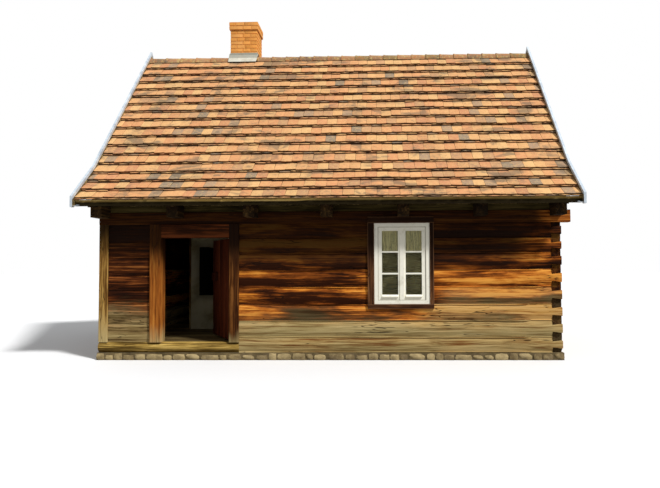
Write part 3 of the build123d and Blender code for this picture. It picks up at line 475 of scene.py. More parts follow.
@dataclass(frozen=True)
class Clay(Finish):
    """Burnt clay: every tile or brick its own colour, clouded, with soot and lichen in spots, and dirt and
    painted shade along the tiles' butts.
    """

    stops: tuple[tuple[float, Colour], ...]
    dark_tone: Colour = tint(96, 88, 78)
    lichen: Colour = tint(206, 184, 120)
    butt_dirt_and_shade: Colour = tint(38, 20, 13)
    second: Colour = tint(196, 116, 60)
    mottle: float = 14.0
    grime: float = 0.5
    edges: float = 0.0
    smudges: float = 0.0
    depth: float = 0.0015

    def draw(self, graph: Graph, shader: Node) -> None:
        """Draws the clay."""
        place = graph.where()
        tone = graph.attribute("tone")
        lucky = graph.take("ShaderNodeTexWhiteNoise", {"W": tone * 91.7}, "Value", noise_dimensions="1D")
        own = graph.own_place(place, (31.0, 17.0, 43.0))
        cloud = graph.noise(own, 16.0, 5, 0.66, 0.3)
        broad = graph.noise(place, 1.3, 3)
        speck = graph.noise(place, 60.0, 4, 0.7)
        level = cloud * 0.85 + (lucky * 0.12 + 0.52)
        grey = graph.take("ShaderNodeCombineColor", {0: level, 1: level, 2: level})
        colour = graph.mix(1.0, graph.ramp(tone, self.stops, "CONSTANT"), grey, "MULTIPLY")
        for aside, patch_colour, share in ((7.0, self.lichen, 0.9), (-9.0, self.second, 0.6)):
            grown = graph.noise(graph.vector("ADD", own, (aside, 3.0, 1.0)), self.mottle, 5, 0.65)
            colour = graph.mix(grown.step(0.48, 0.64) * (share * self.grime), colour, patch_colour)
        stained = speck * 0.3 + (broad * 0.8 + cloud)
        colour = graph.mix(stained.step(1.08, 1.32) * self.grime, colour, self.dark_tone)
        if self.smudges:
            drawn = graph.noise(graph.stretch(place, (1.6, 2.6, 2.6)), 1, 4, 0.6, 0.6)
            drawn = cloud * 0.16 + (lucky * 0.10 + drawn)
            colour = graph.mix(drawn.step(0.66, 0.80, 0.0, self.smudges), colour, self.dark_tone)
        # Dirt and painted shade on each tile's butt and underside, and up to where the next course laps it.
        if self.edges:
            colour = graph.mix(graph.attribute("butt") * self.edges, colour, self.butt_dirt_and_shade)
        graph.coat(shader, colour, speck.step(0.3, 0.7, 0.72, 0.95), speck * 0.5 + cloud, self.depth, 0.1)


@dataclass(frozen=True)
class Grit(Finish):
    """Mortar or stone: a clouded, gritty surface."""

    dark: Colour
    pale: Colour
    cloud: float = 6.0
    grit: float = 120.0
    depth: float = 0.003
    dirt: Colour = tint(120, 105, 88)
    dirt_share: float = 0.25

    def draw(self, graph: Graph, shader: Node) -> None:
        """Draws the grit."""
        own = graph.own_place(graph.where(), (19.0, 43.0, 29.0))
        cloud = graph.noise(own, self.cloud, 6, 0.6, 0.4)
        grit = graph.noise(own, self.grit, 3, 0.6)
        level = (graph.attribute("tone") - 0.5) * 0.35 + cloud
        colour = graph.ramp(grit * 0.25 + level, [(0.4, self.dark), (0.85, self.pale)])
        stain = graph.noise(own, self.cloud * 0.55, 4, 0.6, 0.8).step(0.5, 0.68)
        colour = graph.mix(stain * self.dirt_share, colour, self.dirt)
        graph.coat(shader, colour, grit.step(0.3, 0.7, 0.8, 0.97), cloud * 2.0 + grit, self.depth, 0.15)


@dataclass(frozen=True)
class Limewash(Finish):
    """Limewashed masonry, black with soot inside the fire opening and yellowed round it."""

    fire: tuple[Span, Span, Span] = ((-2.748, -1.208), (-0.496, 0.6), (0.93, 1.9))

    def draw(self, graph: Graph, shader: Node) -> None:
        """Draws the limewash."""
        place = graph.where()
        cloud = graph.noise(place, 2.2, 6, 0.6, 0.4)
        grit = graph.noise(place, 60.0, 4, 0.6)
        colour = graph.ramp(grit * 0.3 + cloud, [(0.45, tint(150, 136, 96)), (0.62, tint(190, 180, 146)),
                                                 (0.9, tint(206, 200, 176))])
        beyond = [side for axis, (low, high) in zip(graph.axes(place), self.fire)
                  for side in (low - axis, axis - high)]
        off = beyond[0].largest(*beyond[1:])
        smoke = (cloud - 0.5) * 0.12 + off
        colour = graph.mix(smoke.step(0.0, 0.16, 0.5, 0.0), colour, tint(70, 56, 36))
        colour = graph.mix(off.step(0.0, 0.004, 0.96, 0.0), colour, tint(16, 13, 11))
        graph.coat(shader, colour, grit.step(0.3, 0.7, 0.85, 0.98), cloud * 3.0 + grit, 0.004, 0.1)


@dataclass(frozen=True)
class Metal(Finish):
    """Sheet zinc or forged iron: dull metal with blooms and spots, and painted shade above a height."""

    dark: Colour
    pale: Colour
    spots: Colour
    metallic: float
    rough: float
    upper: float = 90.0
    upper_shade: Colour = tint(138, 138, 126)
    depth: float = 0.0008

    def draw(self, graph: Graph, shader: Node) -> None:
        """Draws the metal."""
        place = graph.where()
        bloom = graph.noise(place, 7.0, 6, 0.62, 0.5)
        fine = graph.noise(place, 70.0, 4, 0.6)
        colour = graph.ramp(fine * 0.2 + bloom, [(0.42, self.dark), (0.78, self.pale)])
        spotted = graph.noise(graph.vector("ADD", place, (5.0, 9.0, 2.0)), 31.0, 5, 0.7).step(0.58, 0.7)
        colour = graph.mix(spotted * 0.55, colour, self.spots)
        # Painted shade above the height where the flashing's upstand rises from its apron.
        upright = graph.axes(place)[2].step(self.upper - 0.006, self.upper + 0.006, 0.0, 0.7)
        colour = graph.mix(upright, colour, self.upper_shade)
        roughness = bloom.step(0.3, 0.7, self.rough, self.rough + 0.22)
        graph.coat(shader, colour, roughness, bloom * 2.0 + fine, self.depth)
        shader.inputs["Metallic"].default_value = self.metallic


@dataclass(frozen=True)
class Paint(Finish):
    """Old oil paint on wood: brush marks, chips down to the wood, dirt and painted shade along the seams."""

    coat: Colour
    dirt: Colour
    bare: Colour
    dirty_shaded_seams: tuple[tuple[float, float, float, float], ...] = ()
    chipped: float = 0.72
    grain: Grain = Grain.Z

    def draw(self, graph: Graph, shader: Node) -> None:
        """Draws the paint."""
        place = graph.where()
        brush = graph.noise(graph.stretch(place, self.grain.stretch(5, 160)), 1, 5, 0.6)
        cloud = graph.noise(place, 11.0, 5, 0.62, 0.4)
        colour = graph.mix(cloud.step(0.5, 0.85), self.coat, self.dirt)
        colour = graph.mix(brush.step(0.58, 0.75, 0.0, 0.35), colour, self.dirt)
        flake = graph.noise(graph.stretch(place, self.grain.stretch(14, 40)), 1, 6, 0.7)
        chip = flake.step(self.chipped - 0.02, self.chipped)
        colour = graph.mix(chip, colour, self.bare)
        x, _, z = graph.axes(place)
        # Dirt and painted shade along the gap round the sash, in the bare wood's colour.
        for left, right, low, high in self.dirty_shaded_seams:
            beside = abs(x - (left + right) / 2) - (right - left) / 2
            above = abs(z - (low + high) / 2) - (high - low) / 2
            off = abs(beside.largest(above))
            colour = graph.mix((cloud * 0.004 + off).step(0.004, 0.009, 0.7, 0.0), colour, self.bare)
        graph.coat(shader, colour, brush.step(0.3, 0.7, 0.42, 0.6), chip * -1.5 + brush, 0.0012)


@dataclass(frozen=True)
class PaneGlass(Finish):
    """Old window glass: see-through, with a film of dust, and on the top panes a paler film in upright
    streaks, painted light for the net curtain behind.
    """

    top_pane: float = 1.74

    def draw(self, graph: Graph, shader: Node) -> Node:
        """Draws the glass."""
        place = graph.where()
        film = graph.noise(place, 5.0, 5, 0.65, 0.6)
        normal = graph.bump(graph.noise(place, 3.2, 2, 0.5), 0.004)
        clear = graph.add("ShaderNodeBsdfTransparent", {"Color": tint(240, 244, 238)})
        shine = graph.add("ShaderNodeBsdfGlossy", {
            "Color": tint(150, 146, 116), "Roughness": film.step(0.3, 0.8, 0.04, 0.2), "Normal": normal,
        })
        # On the top panes the film turns paler and thicker, in upright streaks: painted light for the net
        # curtain in shade behind.
        top = graph.axes(place)[2].step(self.top_pane, self.top_pane + 0.02)
        dust = graph.add("ShaderNodeBsdfDiffuse",
                         {"Color": graph.mix(top, tint(176, 166, 116), tint(236, 226, 168))})
        edge_on = graph.take("ShaderNodeFresnel", {"IOR": 1.5, "Normal": normal})
        curtain_streaks = graph.noise(graph.stretch(place, (52.0, 1.0, 4.0)), 1, 4, 0.65).step(0.34, 0.66, 0.1, 0.42)
        dusty = top * curtain_streaks + film.step(0.35, 0.75, 0.05, 0.22)
        return graph.blend(dusty, graph.blend(edge_on, clear, shine), dust)


@dataclass(frozen=True)
class Lace(Finish):
    """Net curtain with sprigs and a dense border, seen by its UV in metres of flat cloth."""

    thread: Colour
    shadow: Colour

    def draw(self, graph: Graph, shader: Node) -> Node:
        """Draws the lace."""
        flat = graph.take("ShaderNodeUVMap", uv_map="cloth")
        mesh = graph.cells(flat, 260.0, "DISTANCE_TO_EDGE", 0.35)["Distance"]
        sprig = graph.cells(flat, 26.0, chance=0.4)["Distance"]
        low = graph.axes(flat)[1]
        solid = mesh.step(0.10, 0.2, 1.0, 0.0).largest(
            sprig.step(0.26, 0.36, 1.0, 0.0), low.step(0.035, 0.06, 1.0, 0.0), low.step(0.355, 0.37))
        weave = graph.noise(flat, 900.0, 2)
        colour = graph.mix(weave * 0.6, self.thread, self.shadow)
        graph.coat(shader, colour, weave.step(0.3, 0.7, 0.8, 0.95), solid, 0.0006)
        glow = graph.add("ShaderNodeBsdfTranslucent", {"Color": colour})
        cloth = graph.blend(weave.step(0.0, 1.0, 0.2, 0.35), shader, glow)
        return graph.blend(solid.step(0.0, 1.0, 0.84, 1.0), graph.add("ShaderNodeBsdfTransparent"), cloth)


# For the woods below, shade gives the heights where painted shade of the eaves begins, and shade_end where it
# gives way near the right corner.
LOG_TONES = {**tones((32, 13, 5), (108, 54, 18), (196, 110, 36), (240, 164, 70)), "streaks": 1.2}
WALL_SHADE = {"weather": (0.48, 0.81), "ragged": 0.22, "by_log": True, "climb": (1.2, 2.1, 0.16, 0.36),
              "shade": (1.26, 1.6), "shade_end": (2.95, 3.45), "shares": (0.8, 1.2, 0.8, 1.6), "rise": 0.19}
ROOF_TONES = tones((40, 28, 18), (72, 52, 32), (106, 80, 50), (128, 98, 62))
BOARD_TONES = {**tones((70, 56, 34), (112, 94, 58), (148, 126, 82), (168, 146, 98)), "depth": 0.002}
CASING_TONES = {**tones((38, 20, 12), (76, 46, 28), (116, 76, 46), (148, 106, 70)), "depth": 0.0015,
                "arris": tint(150, 108, 76), "arris_share": 0.4, "shade": (1.3, 1.75)}

LONG_LOGS = Wood("hewn_logs_long", Grain.X, **LOG_TONES, **WALL_SHADE)
MIDDLE_LOGS = replace(LONG_LOGS, name="hewn_logs_middle", dark=tint(50, 22, 8), middle=tint(148, 78, 26),
                      pale=tint(222, 136, 46), shade=(1.3, 1.66))
CROSS_LOGS = replace(LONG_LOGS, name="hewn_logs_cross", grain=Grain.Y, end_shade_from=2.55)
BAY_PLANKS = Wood("hewn_bay_planks", Grain.X, **tones((20, 8, 4), (52, 23, 9), (108, 55, 22), (172, 106, 50)),
                  weather=(0.35, 0.95), shade=(1.4, 2.0))
PLATE_WOOD = Wood("plate_logs_long", Grain.X,
                  **tones((70, 32, 12), (168, 92, 32), (212, 132, 54), (226, 150, 70)),
                  shade=(1.0, 1.1), shade_end=(3.3, 3.6))
POST_WOOD = Wood("post_wood_worn", Grain.Z,
                 **tones((92, 46, 16), (164, 94, 34), (206, 138, 60), (228, 168, 90)),
                 weather=(0.2, 0.62), shade=(1.2, 1.95), checks=0.8, streaks=0.8, arris=tint(216, 154, 84))
CORNER_WOOD = Wood("corner_post_worn", Grain.Z,
                   **tones((80, 48, 20), (136, 98, 46), (182, 142, 74), (206, 168, 98)),
                   weather=(0.3, 0.9), shade=(1.75, 2.15), checks=0.8, arris=tint(60, 34, 18))
# The right door post's tones are darker than the left one's, as painted shade.
DARK_POST = Wood("post_wood_dark", Grain.Z, **tones((28, 12, 5), (56, 28, 10), (88, 50, 20), (126, 80, 38)),
                 weather=(0.1, 0.5), shade=(1.3, 1.95), checks=0.8, arris=tint(104, 62, 32))
SILL_WOOD = Wood("sill_wood_worn", Grain.X,
                 **tones((88, 66, 28), (168, 136, 68), (214, 180, 102), (234, 206, 132)), streaks=1.1)
# The lintel's pale arris is wear and a painted highlight along its edges.
DARK_WOOD = Wood("dark_logs_long", Grain.X, **tones((26, 11, 5), (46, 21, 9), (80, 40, 18), (116, 60, 30)),
                 arris=tint(206, 132, 76))
# The tie beams' tones are darkened as painted shade under the eaves.
DARK_CROSS = Wood("dark_beams_cross", Grain.Y, **tones((20, 13, 7), (36, 24, 12), (62, 44, 23), (96, 72, 40)))
ROOF_WOOD_Y = Wood("roof_timber_sloped", Grain.Y, **ROOF_TONES)
ROOF_WOOD_X = Wood("roof_timber_long", Grain.X, **ROOF_TONES)
BOARD_X = Wood("board_wood_long", Grain.X, **BOARD_TONES)
BOARD_Y = Wood("board_wood_cross", Grain.Y, **BOARD_TONES)
BOARD_Z = Wood("board_wood_upright", Grain.Z,
               **tones((66, 40, 22), (106, 70, 40), (148, 108, 66), (170, 130, 84)), depth=0.002, checks=0.6)
# The eaves board's bright tones are painted light for its upper part, which the tiles shade; its dark arris
# is painted shade.
EAVES_WOOD = Wood("eaves_board_wood", Grain.X,
                  **tones((150, 116, 54), (200, 160, 86), (226, 190, 114), (236, 204, 134)),
                  arris=tint(5, 4, 1), arris_share=0.98, streaks=0.7, depth=0.002)
INFILL_WOOD = Wood("infill_board_wood", Grain.X,
                   **tones((28, 22, 10), (48, 39, 18), (76, 64, 33), (96, 82, 46)), depth=0.002)
CASING_UP = Wood("casing_wood_upright", Grain.Z, **CASING_TONES)
CASING_LONG = Wood("casing_wood_long", Grain.X, **CASING_TONES)
DOOR_WOOD = Wood("door_wood_stained", Grain.Z,
                 **tones((40, 18, 10), (78, 34, 18), (112, 54, 30), (136, 74, 44)), depth=0.0015, streaks=0.7)

TILE_CLAY = Clay("tile_clay", (
    (0.0, tint(224, 169, 116)), (0.2, tint(221, 161, 110)), (0.38, tint(226, 175, 119)),
    (0.52, tint(218, 155, 107)), (0.66, tint(228, 181, 124)), (0.78, tint(208, 147, 105)),
    (0.87, tint(198, 152, 111)), (0.94, tint(174, 145, 117)), (0.98, tint(148, 132, 112)),
), dark_tone=tint(116, 102, 84), lichen=tint(224, 186, 122), second=tint(204, 140, 98), mottle=24.0,
    edges=0.94, smudges=0.72)
RIDGE_CLAY = Clay("ridge_clay", (
    (0.0, tint(178, 134, 96)), (0.3, tint(160, 124, 92)), (0.55, tint(146, 120, 82)),
    (0.8, tint(186, 146, 108)),
), grime=0.8)
BRICK_CLAY = Clay("brick_clay", (
    (0.0, tint(240, 166, 84)), (0.3, tint(242, 170, 90)), (0.6, tint(238, 162, 80)),
    (0.85, tint(244, 174, 96)),
), lichen=tint(244, 186, 108), second=tint(222, 142, 72), grime=0.25, depth=0.002)
MORTAR = Grit("lime_mortar", tint(206, 136, 66), tint(236, 172, 96), depth=0.002)
BED_MORTAR = Grit("footing_mortar", tint(84, 72, 48), tint(132, 114, 80))
FIELDSTONE = Grit("fieldstone_rough", tint(122, 104, 72), tint(190, 168, 122), cloud=9.0, depth=0.004)
ZINC = Metal("zinc_sheet", tint(172, 184, 196), tint(216, 226, 234), tint(236, 240, 242), 0.15, 0.45)
# The flashing's upstand is painted darker than its sunlit apron, as painted shade.
FLASHING = Metal("flashing_zinc", tint(194, 190, 172), tint(222, 219, 204), tint(230, 227, 212), 0.05, 0.5,
                 upper=5.861)
LIMEWASH = Limewash("limewash")
IRON = Metal("forged_iron", tint(34, 30, 28), tint(62, 54, 50), tint(96, 58, 38), 0.75, 0.5)
WHITE_PAINT = Paint("white_window_paint", tint(255, 251, 234), tint(218, 212, 188), tint(112, 104, 78),
                    dirty_shaded_seams=((0.817, 1.582, 0.957, 2.134),))
GLASS = PaneGlass("window_pane_glass")
LACE = Lace("net_curtain_lace", tint(255, 252, 226), tint(244, 234, 180))


# Working the CAD's solids into pieces


def in_scene(name: str, data: bpy.types.ID) -> Piece:
    """A new object in the scene."""
    thing = bpy.data.objects.new(name, data)
    bpy.context.scene.collection.objects.link(thing)
    return thing


def settle(mesh: Mesh, name: str, finish: Finish, replaces: Iterable[str] = (),
           body: str = "house", crease: float | None = None) -> Piece:
    """Puts a mesh into the scene as a piece of the cabin.

    Args:
        mesh: the mesh, in the frame's place.
        name: the piece's name.
        finish: its surface.
        replaces: the CAD nodes it stands for.
        body: the body it moves with.
        crease: the angle in degrees above which an edge stays sharp, or None where none does.
    Returns:
        The new object.
    """
    mesh.materials.clear()
    mesh.materials.append(finish.material())
    mesh.shade_smooth()
    if crease is not None:
        mesh.set_sharp_from_angle(angle=math.radians(crease))
    piece = in_scene(name, mesh)
    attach(piece, body)
    nodes = list(replaces)
    if nodes:
        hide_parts(*nodes)
    return piece


def dress(finish: Finish, *nodes: str) -> None:
    """Gives CAD nodes a better material."""
    for node in nodes:
        for slot in frame["nodes"][node].material_slots:
            slot.material = finish.material()


def own_tone(place: Vector) -> float:
    """A number from 0 to 1 that belongs to a place, the same in every run."""
    return random.Random(f"{place.x:.2f} {place.y:.2f} {place.z:.2f}").random()


def extents(solid: Solid) -> tuple[Vector, Vector]:
    """The lowest and highest corner of a mesh."""
    parts = list(zip(*(point.co for point in solid.verts)))
    return Vector(map(min, parts)), Vector(map(max, parts))


class Carving:
    """Closed solids gathered into one piece: each point knows its tone, arris and solid's middle height."""

    def __init__(self) -> None:
        """Starts with nothing."""
        self.points: list[Vector] = []
        self.faces: list[list[int]] = []
        self.marks: dict[str, list[float]] = {"tone": [], "edge": [], "seat": []}

    def add(self, solid: Solid, tone: float = 0.5, arris: FaceMark | None = None) -> None:
        """Adds a solid and frees it.

        Args:
            solid: the closed mesh.
            tone: its own number from 0 to 1, for its colour.
            arris: the face layer that marks worn arrises.
        """
        bmesh.ops.recalc_face_normals(solid, faces=solid.faces)
        first = len(self.points)
        low, high = extents(solid)
        solid.verts.index_update()
        for point in solid.verts:
            worn = arris is not None and any(face[arris] for face in point.link_faces)
            self.points.append(point.co.copy())
            for label, number in (("tone", tone), ("edge", float(worn)), ("seat", (low.z + high.z) / 2)):
                self.marks[label].append(number)
        for face in solid.faces:
            self.faces.append([first + point.index for point in face.verts])
        solid.free()

    def piece(self, name: str, finish: Finish, slot: str, replaces: Iterable[str] = (),
              body: str = "house", crease: float = 32) -> Piece:
        """Makes the piece; settle says what each argument is."""
        mesh = bpy.data.meshes.new(name)
        mesh.from_pydata(self.points, [], self.faces)
        for label, numbers in self.marks.items():
            mesh.attributes.new(label, "FLOAT", "POINT").data.foreach_set("value", numbers)
        return settle(mesh, name, finish, replaces, body, crease)


# How near two points are one, and how nearly two faces have to lie in a plane to be joined
WELD = 0.00002
FLAT = math.radians(0.5)


def solids_of(node: str) -> list[Solid]:
    """The solids of a CAD node, each as a closed mesh of its own with flat faces joined."""
    source = frame["nodes"][node]
    whole = bmesh.new()
    whole.from_mesh(source.data)
    whole.transform(source.matrix_world)
    bmesh.ops.remove_doubles(whole, verts=whole.verts, dist=WELD)
    whole.verts.index_update()
    left = set(whole.verts)
    solids = []
    while left:
        stack = [left.pop()]
        group = set(stack)
        while stack:
            met = {point for edge in stack.pop().link_edges for point in edge.verts} - group
            group |= met
            stack += met
        left -= group
        solid = bmesh.new()
        made = {point: solid.verts.new(point.co) for point in sorted(group, key=lambda v: v.index)}
        for face in whole.faces:
            if face.verts[0] in group:
                solid.faces.new([made[point] for point in face.verts])
        bmesh.ops.dissolve_limit(solid, angle_limit=FLAT, verts=solid.verts, edges=solid.edges)
        bmesh.ops.recalc_face_normals(solid, faces=solid.faces)
        solids.append(solid)
    whole.free()
    solids.sort(key=lambda s: tuple(round(c, 3) for c in extents(s)[0]))
    return solids


def cut_through(solid: Solid, place: Vector, normal: Vector, **options: object) -> dict[str, list]:
    """Cuts all of a mesh with a plane, and returns what the cut met."""
    everything = solid.verts[:] + solid.edges[:] + solid.faces[:]
    return bmesh.ops.bisect_plane(solid, geom=everything, plane_co=place, plane_no=normal, **options)


def slice_at(solid: Solid, axis: int, places: Iterable[float]) -> None:
    """Cuts a mesh's faces at places along an axis, without parting them."""
    normal = Vector((0, 0, 0))
    normal[axis] = 1
    for place in places:
        cut_through(solid, normal * place, normal, dist=0.00001)


def spaced(low: float, high: float, step: float) -> list[float]:
    """Places between two ends, about a step apart."""
    count = max(1, round((high - low) / step))
    return [low + (high - low) * i / count for i in range(1, count)]


def fade(value: float, start: float, end: float) -> float:
    """A smooth step from 0 at start to 1 at end."""
    share = min(1.0, max(0.0, (value - start) / (end - start)))
    return share * share * (3 - 2 * share)


def hold(value: float, rise: Span, fall: Span) -> float:
    """1 from the end of one span to the start of another, fading to 0 over both."""
    return fade(value, *rise) * (1 - fade(value, *fall))


def drift(place: Vector, level: float, upright: float, shift: Triple = (0.0, 0.0, 0.0)) -> float:
    """Noise round 0 at a place, by how fast it changes level with the ground and upright."""
    return noise.noise(Vector((place.x * level, place.y * level, place.z * upright)) + Vector(shift))


# Where the joints between logs may waver, and where they keep straight below the window
FREE_HEIGHTS = ((0.13, 0.3), (2.05, 2.18))
WINDOW_STRETCH = ((0.45, 0.62), (1.78, 1.95))
WINDOW_JOINT = ((0.74, 0.86), (0.92, 1.04))
FRONT_WALL = -2.3


@dataclass(frozen=True)
class Hewing:
    """How a set of timbers is worked by hand.

    Args:
        grain: the axis that they run along.
        faces: the axes across their hewn faces.
        step: how far apart the cuts along them are.
        rows: how far apart the cuts round them are.
        arris: how much is rounded off their long edges.
        rim: how far beside a rounded edge the faces are cut once more.
        hollow: how deep the faces are hewn back.
        waver: how far the joints rise and sink.
        belly: how far the faces fall back towards the joints.
    """

    grain: Grain
    faces: tuple[int, ...]
    step: float = 0.1
    rows: float = 0.075
    arris: float = 0.012
    rim: float = 0.03
    hollow: float = 0.007
    waver: float = 0.010
    belly: float = 0.0

    def timbers(self, node: str) -> Carving:
        """The timbers of a CAD node, hewn."""
        carving = Carving()
        for solid in solids_of(node):
            low, high = extents(solid)
            worn = self.rough_out(solid)
            self.wear(solid, worn)
            carving.add(solid, own_tone((low + high) / 2), worn)
        return carving

    def rough_out(self, solid: Solid) -> FaceMark:
        """Rounds the arrises and cuts up the faces, and returns the layer that marks the worn ones."""
        self.round_arrises(solid)
        worn = solid.faces.layers.int["arris"]
        self.slice_up(solid, worn)
        return worn

    def round_arrises(self, solid: Solid, shortest: float = 0.3, straight: float = 0.98,
                      sharp: float = 0.9) -> None:
        """Rounds the long arrises and marks their faces.

        Args:
            solid: the timber.
            shortest: the length from which an edge counts as long.
            straight: how nearly it has to run along the grain, at most 1.
            sharp: the angle in radians from which it counts as sharp.
        """
        worn = solid.faces.layers.int.new("arris")
        long_edges = []
        for edge in solid.edges:
            run = edge.verts[1].co - edge.verts[0].co
            lengthwise = run.length >= shortest and abs(run.normalized()[self.grain.value]) >= straight
            if lengthwise and edge.is_manifold and edge.is_convex and edge.calc_face_angle(0.0) > sharp:
                long_edges.append(edge)
        if long_edges:
            made = bmesh.ops.bevel(
                solid, geom=long_edges, offset=self.arris, offset_type="OFFSET", segments=2,
                profile=0.5, affect="EDGES", clamp_overlap=True,
            )
            for face in made["faces"]:
                face[worn] = 1

    def slice_up(self, solid: Solid, worn: FaceMark) -> None:
        """Cuts the faces fine enough to be bent."""
        low, high = extents(solid)
        for axis in range(3):
            if axis == self.grain.value:
                slice_at(solid, axis, spaced(low[axis], high[axis], self.step))
                continue
            if set(self.faces) <= {axis}:
                continue
            rims = {round(point.co[axis], 3) for face in solid.faces if face[worn] for point in face.verts}
            near = {level + side * self.rim for level in rims for side in (-1, 1)}
            rows = {level for level in spaced(low[axis], high[axis], self.rows)
                    if all(abs(level - rim) > self.rim for rim in rims)}
            slice_at(solid, axis, sorted(level for level in near | rows if low[axis] < level < high[axis]))

    def wear(self, solid: Solid, worn: FaceMark, touch: float = 0.001, square: float = 0.95) -> None:
        """Hews the faces back unevenly, bellies them and lets the joints waver.

        Args:
            solid: the timber.
            worn: the face layer that marks worn arrises.
            touch: how near a plane a point counts as on it.
            square: how nearly a face has to look along an axis, at most 1.
        """
        low, high = extents(solid)
        moves = []
        for point in solid.verts:
            place = point.co.copy()
            move = Vector((0, 0, self.lift(place)))
            for axis in self.faces:
                for side, plane in ((1, low[axis]), (-1, high[axis])):
                    off = abs(place[axis] - plane)
                    if off < touch and any(abs(face.normal[axis]) > square for face in point.link_faces):
                        move[axis] = side * self.cut(place)
                    by_rim = off < self.arris + touch
                    if by_rim and any(face[worn] or off < touch for face in point.link_faces):
                        move[axis] += side * self.fall(place.z, low.z, high.z)
            moves.append(place + move)
        for point, place in zip(solid.verts, moves):
            point.co = place

    def cut(self, place: Vector) -> float:
        """How deep a face is hewn back at a place."""
        broad = drift(place, 0.8, 2.1) + 1
        adze = noise.noise(place * 6.0) + 1
        return self.hollow * (0.36 * broad + 0.14 * adze)

    def fall(self, height: float, low: float, high: float) -> float:
        """How far a face falls back towards the joints above and below it."""
        share = abs(2 * (height - low) / (high - low) - 1)
        return self.belly * fade(share, 0.3, 1.05)

    def lift(self, place: Vector) -> float:
        """How far a joint rises or sinks at a place: not at foot and top, nor below the window."""
        slow = drift(place, 0.7, 1.9, (9.0, 4.0, 2.0))
        quick = drift(place, 2.6, 4.0)
        by_window = hold(place.x, *WINDOW_STRETCH) * (place.y < FRONT_WALL) * hold(place.z, *WINDOW_JOINT)
        return self.waver * (1.2 * slow + 0.5 * quick) * hold(place.z, *FREE_HEIGHTS) * (1 - by_window)


SMOOTH = {"hollow": 0.003, "waver": 0.0}


def hew(node: str, work: Hewing, finish: Finish, slot: str, name: str = "", crease: float = 32) -> Piece:
    """Hews the timbers of a CAD node into one piece.

    Args:
        node: the CAD node.
        work: how they are hewn.
        finish: their surface.
        slot: the record's slot; not used.
        name: the piece's name, if it isn't the usual one.
        crease: the angle in degrees above which an edge stays sharp.
    Returns:
        The piece.
    """
    return work.timbers(node).piece(name or f"hewn_{node}", finish, slot, [node], crease=crease)


@dataclass(frozen=True)
class Boarding:
    """How a panel is cut into boards."""

    across: Vector
    width: float
    gap: float = 0.003
    vary: float = 0.12

    def boards(self, node: str) -> Carving:
        """The panels of a CAD node as separate boards."""
        carving = Carving()
        for solid in solids_of(node):
            places = [point.co.dot(self.across) for point in solid.verts]
            low, high = min(places), max(places)
            chance = random.Random(f"{node} {low:.2f} {extents(solid)[0].z:.2f}")
            count = max(1, round((high - low) / self.width))
            pitch = (high - low) / count
            cuts = [low + pitch * i + chance.uniform(-1, 1) * self.vary * pitch for i in range(1, count)]
            for start, end in zip([low - 1] + cuts, cuts + [high + 1]):
                board = solid.copy()
                self.trim(board, start + self.gap / 2, -1)
                self.trim(board, end - self.gap / 2, 1)
                if board.faces:
                    carving.add(board, chance.random())
                else:
                    board.free()
            solid.free()
        return carving

    def trim(self, board: Solid, place: float, side: int) -> None:
        """Cuts a mesh off beyond a place and closes it."""
        cut = cut_through(board, self.across * place, self.across * side, dist=0.000001, clear_outer=True)
        rim = [part for part in cut["geom_cut"] if isinstance(part, bmesh.types.BMEdge)]
        if rim:
            bmesh.ops.edgeloop_fill(board, edges=rim)


# What repeats in hundreds: one scatter tree for tiles, bricks and stones


@dataclass
class Spot:
    """One place of a repeated shape: where, how turned and sized, and which template."""

    place: Vector
    turn: Triple = (0.0, 0.0, 0.0)
    size: Triple = (1.0, 1.0, 1.0)
    kind: int = 0


@dataclass(frozen=True)
class Laying:
    """How a set of repeated shapes is laid.

    Args:
        name: the piece's name.
        finish: its surface.
        slot: the record's slot; not used.
        node: the CAD node it stands for.
        seed: the start of the random numbers.
        shift: how far each may be off its spot, in metres.
        turn: how far each may be turned, in radians.
        crease: the angle in degrees above which an edge stays sharp.
    """

    name: str
    finish: Finish
    slot: str
    node: str
    seed: int
    shift: Triple = (0.0, 0.0, 0.0)
    turn: Triple = (0.0, 0.0, 0.0)
    crease: float = 35


